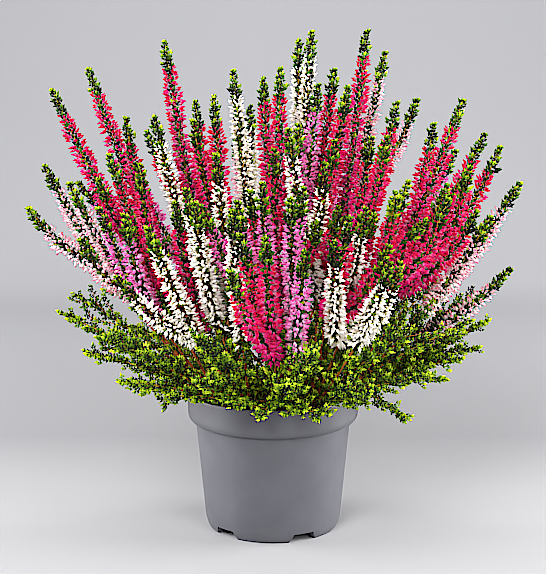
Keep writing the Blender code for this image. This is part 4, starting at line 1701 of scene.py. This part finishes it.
    def sprig(self, path: Path, bare_share: float) -> None:
        """Builds a feathery sprig: branches left and right and short shoots all round a thin stem.

        Args:
            path: The sprig's line.
            bare_share: The share of it that stays bare.
        """
        rng = self.rng
        self.stalk(path, self.sprig_stalk)
        bare = bare_share * path.length
        leafy = path.length - bare
        at = np.arange(bare - 8.0, path.length - 5.0, self.sprig_shoot_pitch)
        many = len(at)
        at = at + rng.uniform(-0.5, 0.5, many)
        ranks = np.radians(self.sprig_ranks)
        turns = ranks[np.arange(many) % len(ranks)] + rng.uniform(-0.4, 0.4, many)
        self.sprout(path, at, turns, self.sprig_shoot, np.clip((at - bare) / leafy, 0.0, 1.0))
        at = np.arange(bare, path.length - 16.0, self.sprig_branch_pitch)
        many = len(at)
        at = at + rng.uniform(-1.5, 1.5, many)
        turns = np.where(np.arange(many) % 2 == 0, 0.0, math.pi) + rng.uniform(-0.7, 0.7, many)
        self.sprout(path, at, turns, self.sprig_branch, np.clip((at - bare) / leafy, 0.0, 1.0))
        place, _, _, along = path.read(np.array([path.length - 20.0]))
        self.scatter(Leafy.BRANCH, place, rising(along), np.full(1, 0.85), 1.0, kinds=1)

    def sprout(self, path: Path, at: Array, turns: Array, habit: Habit, part: Array | float = 0.0) -> None:
        """Sets one kind of growth along a stem.

        Args:
            path: The stem's line.
            at: Distances along it.
            turns: Each one's angle round it.
            habit: How they stand.
            part: How far along the stretch each one is, from 0 to 1.
        """
        rng, many = self.rng, len(at)
        tilts = np.radians(rng.uniform(*habit.tilt, many))
        places, directions = path.around(at, turns, tilts, habit.out)
        sizes = np.interp(part, *habit.swell) * rng.uniform(*habit.size, many)
        # Without a range of their own, the ages are painted light and shade by where the growth stands.
        age = rng.uniform(*habit.age, many) if habit.age else self.youth(places)
        if habit.fade:
            age = age * rng.uniform(*habit.fade, many)
        self.scatter(habit.kind, places, rising(directions), sizes, age)

    def scatter(
        self,
        kind: Leafy,
        places: Array,
        frames: Array,
        sizes: Array,
        age: Array | float,
        kinds: int | None = None,
    ) -> None:
        """Stamps one of several forms at each place.

        Args:
            kind: The kind of form.
            places: Where each one goes.
            frames: Each one's axes.
            sizes: Each one's scale.
            age: How young each one is, painted light and shade included where there is any.
            kinds: How many of the forms to choose from, or None for all.
        """
        forms = self.forms[kind][:kinds]
        many = len(places)
        choice = self.rng.integers(0, len(forms), many)
        tone = self.rng.random(many)
        age = np.broadcast_to(np.asarray(age, float), many)
        for k, form in enumerate(forms):
            mask = choice == k
            self.heap.stamp(form, places[mask], frames[mask], sizes[mask], age[mask], tone[mask])


@dataclass
class NurseryPot:
    """A round tapered nursery pot with a wide collar, a thin lip and five feet."""

    height: float = 98.0
    rim_radius: float = 60.3
    wall: float = 1.3
    foot_radius: float = 45.0
    side_low: Span = (48.0, 8.0)
    side_top: Span = (54.5, 76.5)
    collar: Span = (60.0, 83.0)
    lip: float = 1.8
    floor_z: float = 6.5
    floor_thick: float = 1.5
    foot_ring: float = 4.5
    feet: int = 5
    foot_span: float = 47.0
    front_foot: float = -99.0
    notch_height: float = 6.0
    notch_slope: float = 2.5
    drain_radius: float = 4.0
    drain_at: float = 30.0
    drain_depth: float = 12.0
    steps: int = 180
    weld: float = 0.002
    crease: float = 32.0

    def build(self, finish: bpy.types.Material) -> bpy.types.Object:
        """Builds the pot, dresses it and returns it.

        Args:
            finish: Its plastic.

        Returns:
            The object.
        """
        profile = self.profile()
        rings = [self.section(profile, TURN * k / self.steps) for k in range(self.steps)]
        count, whole = len(profile), len(profile) * self.steps
        points = [tuple(c * MM for c in p) for ring in rings for p in ring]
        faces = []
        for first in range(0, whole, count):
            for i in range(first, first + count - 1):
                j = (i + count) % whole
                faces.append((i, j, j + 1, i + 1))
        mesh = bpy.data.meshes.new("nursery_pot")
        mesh.from_pydata(points, [], faces)
        work = bmesh.new()
        work.from_mesh(mesh)
        bmesh.ops.remove_doubles(work, verts=work.verts, dist=self.weld * MM)
        bmesh.ops.recalc_face_normals(work, faces=work.faces)
        work.to_mesh(mesh)
        work.free()
        mesh.materials.append(finish)
        made = put("nursery_pot", mesh)
        for k in range(self.feet):
            self.cut_drain(made, math.radians(self.front_foot) + TURN * k / self.feet)
        made.data.shade_smooth()
        made.data.set_sharp_from_angle(angle=math.radians(self.crease))
        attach(made, "root")
        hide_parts("pot")
        return made

    def profile(self) -> list[Span]:
        """Draws the pot's section: up the outside, over the rim, down inside and back to the axis.

        Returns:
            Its points, each a radius and a height.
        """
        low_r, low_z = self.side_low
        top_r, top_z = self.side_top
        collar_r, collar_z = self.collar
        foot, rim, top = self.foot_radius, self.rim_radius, self.height
        inner, under = low_r - self.wall - 0.6, self.floor_z - self.floor_thick
        points = [(0.0, under), (foot - self.foot_ring, under), (foot - self.foot_ring, 0.0)]
        points.append((foot - 1.2, 0.0))
        points += self.arc((foot, 0.0), (foot + 1.7, 1.2), (low_r, low_z), 5)
        points += [(low_r + (top_r - low_r) * t, low_z + (top_z - low_z) * t) for t in (0.25, 0.5, 0.75)]
        points.append((top_r - 0.1, top_z - 1.6))
        points += self.arc((top_r + 0.1, top_z), (collar_r + 0.1, top_z + 1.2), (collar_r, collar_z), 7)
        points += [(collar_r + 0.1, collar_z + 4.0), (rim, top - 2.4)]
        points += self.arc((rim, top - 0.9), (rim, top), (rim - 0.8, top), 4)
        edge = rim - self.lip
        points += self.arc((edge + 0.5, top), (edge, top), (edge - 0.1, top - 0.7), 3)
        points += [
            (collar_r - self.wall - 0.1, collar_z + 0.6),
            (top_r - self.wall, top_z + 0.6),
            (inner, self.floor_z + 3.0),
            (inner - 2.5, self.floor_z),
            (0.0, self.floor_z),
        ]
        return points

    def arc(self, start: Span, bend: Span, end: Span, count: int) -> list[Span]:
        """Rounds a corner of the section.

        Args:
            start: Where the round begins.
            bend: The corner that it cuts.
            end: Where it ends.
            count: How many points it has.

        Returns:
            Those points.
        """
        points = []
        for k in range(count):
            t = k / (count - 1)
            three = zip(start, bend, end)
            points.append(tuple((1 - t) ** 2 * a + 2 * t * (1 - t) * b + t * t * c for a, b, c in three))
        return points

    def lift(self, bearing: float) -> float:
        """Finds how high the pot's lower edge is.

        Args:
            bearing: The angle round the pot.

        Returns:
            0 on a foot and the notch height in a gap, with a slope between.
        """
        pitch = TURN / self.feet
        turn = (bearing - math.radians(self.front_foot) + pitch / 2) % pitch - pitch / 2
        edge = (abs(turn) - math.radians(self.foot_span) / 2) * self.foot_radius
        part = min(max(edge / self.notch_slope, 0.0), 1.0)
        return self.notch_height * part * part * (3 - 2 * part)

    def section(self, profile: list[Span], bearing: float) -> list[tuple[float, float, float]]:
        """Turns the section to one bearing, with its foot cut away between the feet.

        Args:
            profile: The section's points.
            bearing: The angle round the pot.

        Returns:
            Points in space.
        """
        low = self.lift(bearing)
        under = self.floor_z - self.floor_thick
        side = [p for p in profile if p[1] <= self.side_top[1] - 0.5 and p[0] >= self.foot_radius]
        radii, heights = zip(*side)
        points = []
        for radius, z in profile:
            if z < low:
                if radius >= self.foot_radius - 1.3:
                    radius = max(radius, float(np.interp(low, heights, radii)) - (0.0 if z > 0 else 0.3))
                z = low
            if radius < self.foot_radius - self.foot_ring + 0.1 and z < self.floor_z - 0.1 and radius > 1.0:
                z = max(z, under) if z >= under - 0.01 else z
            points.append((radius * math.cos(bearing), radius * math.sin(bearing), z))
        return points

    def cut_drain(self, pot: bpy.types.Object, bearing: float) -> None:
        """Cuts a round drain hole through the floor.

        Args:
            pot: The pot, whose mesh is changed.
            bearing: The angle round the pot.
        """
        work = bmesh.new()
        radius = self.drain_radius * MM
        bmesh.ops.create_cone(
            work, cap_ends=True, segments=24, radius1=radius, radius2=radius, depth=self.drain_depth * MM
        )
        mesh = bpy.data.meshes.new("drain")
        work.to_mesh(mesh)
        work.free()
        cutter = put("drain", mesh)
        reach = self.drain_at * MM
        cutter.location = (reach * math.cos(bearing), reach * math.sin(bearing), self.floor_z * MM)
        modifier = pot.modifiers.new("Drain", "BOOLEAN")
        modifier.operation = "DIFFERENCE"
        modifier.object = cutter
        bpy.context.view_layer.update()
        graph = bpy.context.evaluated_depsgraph_get()
        result = bpy.data.meshes.new_from_object(pot.evaluated_get(graph))
        pot.modifiers.clear()
        pot.data = result
        bpy.data.objects.remove(cutter, do_unlink=True)


@dataclass
class Peat:
    """The peat that fills the pot: a lumpy top with loose crumbs and shreds on it."""

    soil_z: float = 90.0
    mound: float = 2.0
    mound_radius: float = 60.3
    lump: float = 0.45
    outer: float = 56.3
    edge_z: float = 88.0
    wall: tuple[Span, ...] = ((42.6, 6.95), (45.4, 10.5), (52.4, 76.9), (56.9, 85.0))
    columns: int = 96
    rings: int = 26
    crumbs: int = 2600
    crumb_size: tuple[tuple[float, ...], ...] = ((0.5, 0.5, 0.4), (1.5, 1.3, 1.0))
    shreds: int = 420
    shred_size: tuple[tuple[float, ...], ...] = ((0.3, 1.8, 0.3), (0.8, 4.5, 0.5))

    def build(self, finish: bpy.types.Material) -> bpy.types.Object:
        """Builds the peat, dresses it and returns it.

        Args:
            finish: Its material.

        Returns:
            The object.
        """
        rng = np.random.default_rng(SEED + 1)
        heap = Heap()
        self.plug(heap, rng)
        self.litter(heap, rng)
        made = heap.piece("peat", [finish])
        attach(made, "root")
        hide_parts("compost")
        return made

    def top(self, reach: Array, rng: np.random.Generator) -> Array:
        """Finds the height of the peat.

        Args:
            reach: Distances from the pot's axis.
            rng: Where the lumps come from.

        Returns:
            Heights.
        """
        lumps = rng.normal(0.0, self.lump, len(reach))
        return self.soil_z - self.mound * (reach / self.mound_radius) ** 2 + lumps

    def plug(self, heap: Heap, rng: np.random.Generator) -> None:
        """Adds the plug itself.

        Args:
            heap: Where it is gathered.
            rng: Where the lumps come from.
        """
        turns = TURN * np.arange(self.columns) / self.columns
        rows = []
        for radius, z in (*self.wall, (self.outer, self.edge_z)):
            level = np.full(self.columns, z)
            rows.append(np.stack([radius * np.cos(turns), radius * np.sin(turns), level], axis=1))
        for reach in np.linspace(self.outer - 2.0, 1.0, self.rings):
            far = np.full(self.columns, reach) + rng.uniform(-0.4, 0.4, self.columns)
            rows.append(np.stack([far * np.cos(turns), far * np.sin(turns), self.top(far, rng)], axis=1))
        points = np.concatenate(rows)
        heap.add(points, tube_faces(len(rows), self.columns), tone=0.45, smooth=False)

    def litter(self, heap: Heap, rng: np.random.Generator) -> None:
        """Adds loose crumbs and flat shreds of bark on top.

        Args:
            heap: Where they are gathered.
            rng: Where they lie.
        """
        points = ((0, 0, 1), (1, 0, 0.1), (0.2, 1, 0), (-1, 0.1, 0), (0, -1, 0.1), (0, 0, -1))
        faces = [(0, 1, 2), (0, 2, 3), (0, 3, 4), (0, 4, 1), (5, 2, 1), (5, 3, 2), (5, 4, 3), (5, 1, 4)]
        lump = Form.plain(points, faces, along=np.full(len(points), 0.5))
        for many, low, high in ((self.crumbs, *self.crumb_size), (self.shreds, *self.shred_size)):
            reach = (self.outer - 1.6) * np.sqrt(rng.random(many))
            turns = rng.uniform(0.0, TURN, many)
            height = self.top(reach, rng) + 0.5
            places = np.stack([reach * np.cos(turns), reach * np.sin(turns), height], axis=1)
            directions = unit(rng.normal(0.0, 0.35, (many, 3)) + UPRIGHT)
            frames = frames_along(directions, unit(rng.normal(0.0, 1.0, (many, 3))))
            sizes = rng.uniform(low, high, (many, 3))
            heap.stamp(lump, places, frames, sizes, 1.0, rng.uniform(0.2, 1.3, many))


@dataclass(frozen=True)
class Softbox:
    """A square softbox that faces the plant. Its place and size are in metres, its power in watts."""

    name: str
    place: tuple[float, float, float]
    size: float
    power: float
    aim_height: float = 0.2

    def hang(self) -> None:
        """Adds the lamp to the scene."""
        data = bpy.data.lights.new(self.name, "AREA")
        data.size = self.size
        data.energy = self.power
        made = put(self.name, data)
        made.location = self.place
        x, y, z = self.place
        made.rotation_euler = (math.atan2(math.hypot(x, y), z - self.aim_height), 0.0, math.atan2(x, -y))


@dataclass
class Studio:
    """The paper sweep, the soft lights and the camera of a product photograph."""

    camera_back: float = 1.0
    camera_up: float = 0.35
    pitch: float = 10.15
    long_side_px: float = 574.0
    focal_px: float = 1457.0
    sensor: float = 36.0
    crispness: float = 0.2
    floor_front: float = -1.6
    floor_back: float = 0.8
    sweep_radius: float = 0.5
    sweep_steps: int = 16
    width: float = 4.0
    wall_top: float = 2.4
    air: str = "#f4f6ff"
    air_strength: float = 0.05
    softboxes: tuple[Softbox, ...] = (
        Softbox("key", (-0.45, -1.2, 1.05), 0.6, 21.0),
        Softbox("fill", (0.7, -1.2, 0.8), 0.7, 11.5),
        Softbox("left_wing", (-1.1, 0.15, 0.25), 0.8, 25.0),
        Softbox("right_wing", (1.1, 0.15, 0.25), 0.8, 30.0),
        Softbox("top", (0.0, 0.1, 1.5), 1.4, 11.0),
    )

    def build(self, paper: bpy.types.Material) -> None:
        """Sets up paper, lights and camera.

        Args:
            paper: The background's material.
        """
        self.sweep(paper)
        scene = bpy.context.scene
        scene.view_settings.view_transform = "Standard"
        for softbox in self.softboxes:
            softbox.hang()
        scene.world = bpy.data.worlds.new("studio_air")
        scene.world.use_nodes = True
        background = scene.world.node_tree.nodes["Background"]
        background.inputs["Color"].default_value = linear(self.air)
        background.inputs["Strength"].default_value = self.air_strength
        self.camera()
        self.sharpen(scene)

    def sharpen(self, scene: bpy.types.Scene) -> None:
        """Sharpens the picture a little, as such photographs are before they are printed.

        Args:
            scene: The scene that is rendered.
        """
        scene.use_nodes = True
        tree = scene.node_tree
        tree.nodes.clear()
        layers = add_node(tree, "CompositorNodeRLayers")
        crisp = add_node(
            tree,
            "CompositorNodeFilter",
            {"filter_type": "SHARPEN", "Fac": self.crispness},
            {"Image": layers.outputs["Image"]},
        )
        add_node(tree, "CompositorNodeComposite", links={"Image": crisp.outputs[0]})

    def sweep(self, paper: bpy.types.Material) -> bpy.types.Object:
        """Builds the paper: a floor that curves up into a wall.

        Args:
            paper: Its material.

        Returns:
            The object.
        """
        line = [(self.floor_front, 0.0), (self.floor_back, 0.0)]
        for k in range(1, self.sweep_steps + 1):
            angle = math.pi / 2 * k / self.sweep_steps
            rise = self.sweep_radius * (1 - math.cos(angle))
            line.append((self.floor_back + self.sweep_radius * math.sin(angle), rise))
        line.append((self.floor_back + self.sweep_radius, self.wall_top))
        points = [(side * self.width / 2, y, z) for y, z in line for side in (-1, 1)]
        faces = [(2 * k, 2 * k + 1, 2 * k + 3, 2 * k + 2) for k in range(len(line) - 1)]
        mesh = bpy.data.meshes.new("paper_sweep")
        mesh.from_pydata(points, [], faces)
        mesh.materials.append(paper)
        mesh.shade_smooth()
        return put("paper_sweep", mesh)

    def camera(self) -> None:
        """Places the camera where the photographer stood."""
        data = bpy.data.cameras.new("camera")
        data.sensor_width = self.sensor
        data.lens = self.focal_px * self.sensor / self.long_side_px
        made = put("camera", data)
        made.location = (0.0, -self.camera_back, self.camera_up)
        made.rotation_euler = (math.radians(90.0 - self.pitch), 0.0, 0.0)
        bpy.context.scene.camera = made


def report(piece: bpy.types.Object) -> int:
    """Logs one piece.

    Args:
        piece: The piece that was built.

    Returns:
        How many triangles it has.
    """
    triangles = sum(len(p.vertices) - 2 for p in piece.data.polygons)
    LOG.info("%s: %d triangles", piece.name, triangles)
    return triangles


def main() -> None:
    """Builds every piece in order."""
    logging.basicConfig(level=logging.INFO, format="%(name)s: %(message)s")
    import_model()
    leaf, bark = HeatherLeaf().make(), HeatherBark().make()
    sepals = {finish.colour: finish.make() for finish in SEPALS}
    total = report(NurseryPot().build(MouldedPolypropylene().make()))
    total += report(Peat().build(MilledPeat().make()))
    growth = Growth()
    growth.grow()
    for (crown, number), (colour, shoots) in growth.sprays.items():
        name = "spray_" + crown.removeprefix("crown_") + "_" + str(number)
        total += report(FlowerSpray(name, colour, shoots, sepals[colour]).build())
    for crown, (place, _) in CUTTINGS.items():
        shoots = [s for (owner, _), (_, group) in growth.sprays.items() if owner == crown for s in group]
        sprigs = [s for s in growth.skirt if s.crown == crown]
        total += report(Cutting(crown, place, shoots, sprigs, [leaf, bark]).build())
    LOG.info("all pieces: %d triangles", total)
    Studio().build(StudioPaper().make())
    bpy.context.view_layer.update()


if __name__ == "__main__":
    main()
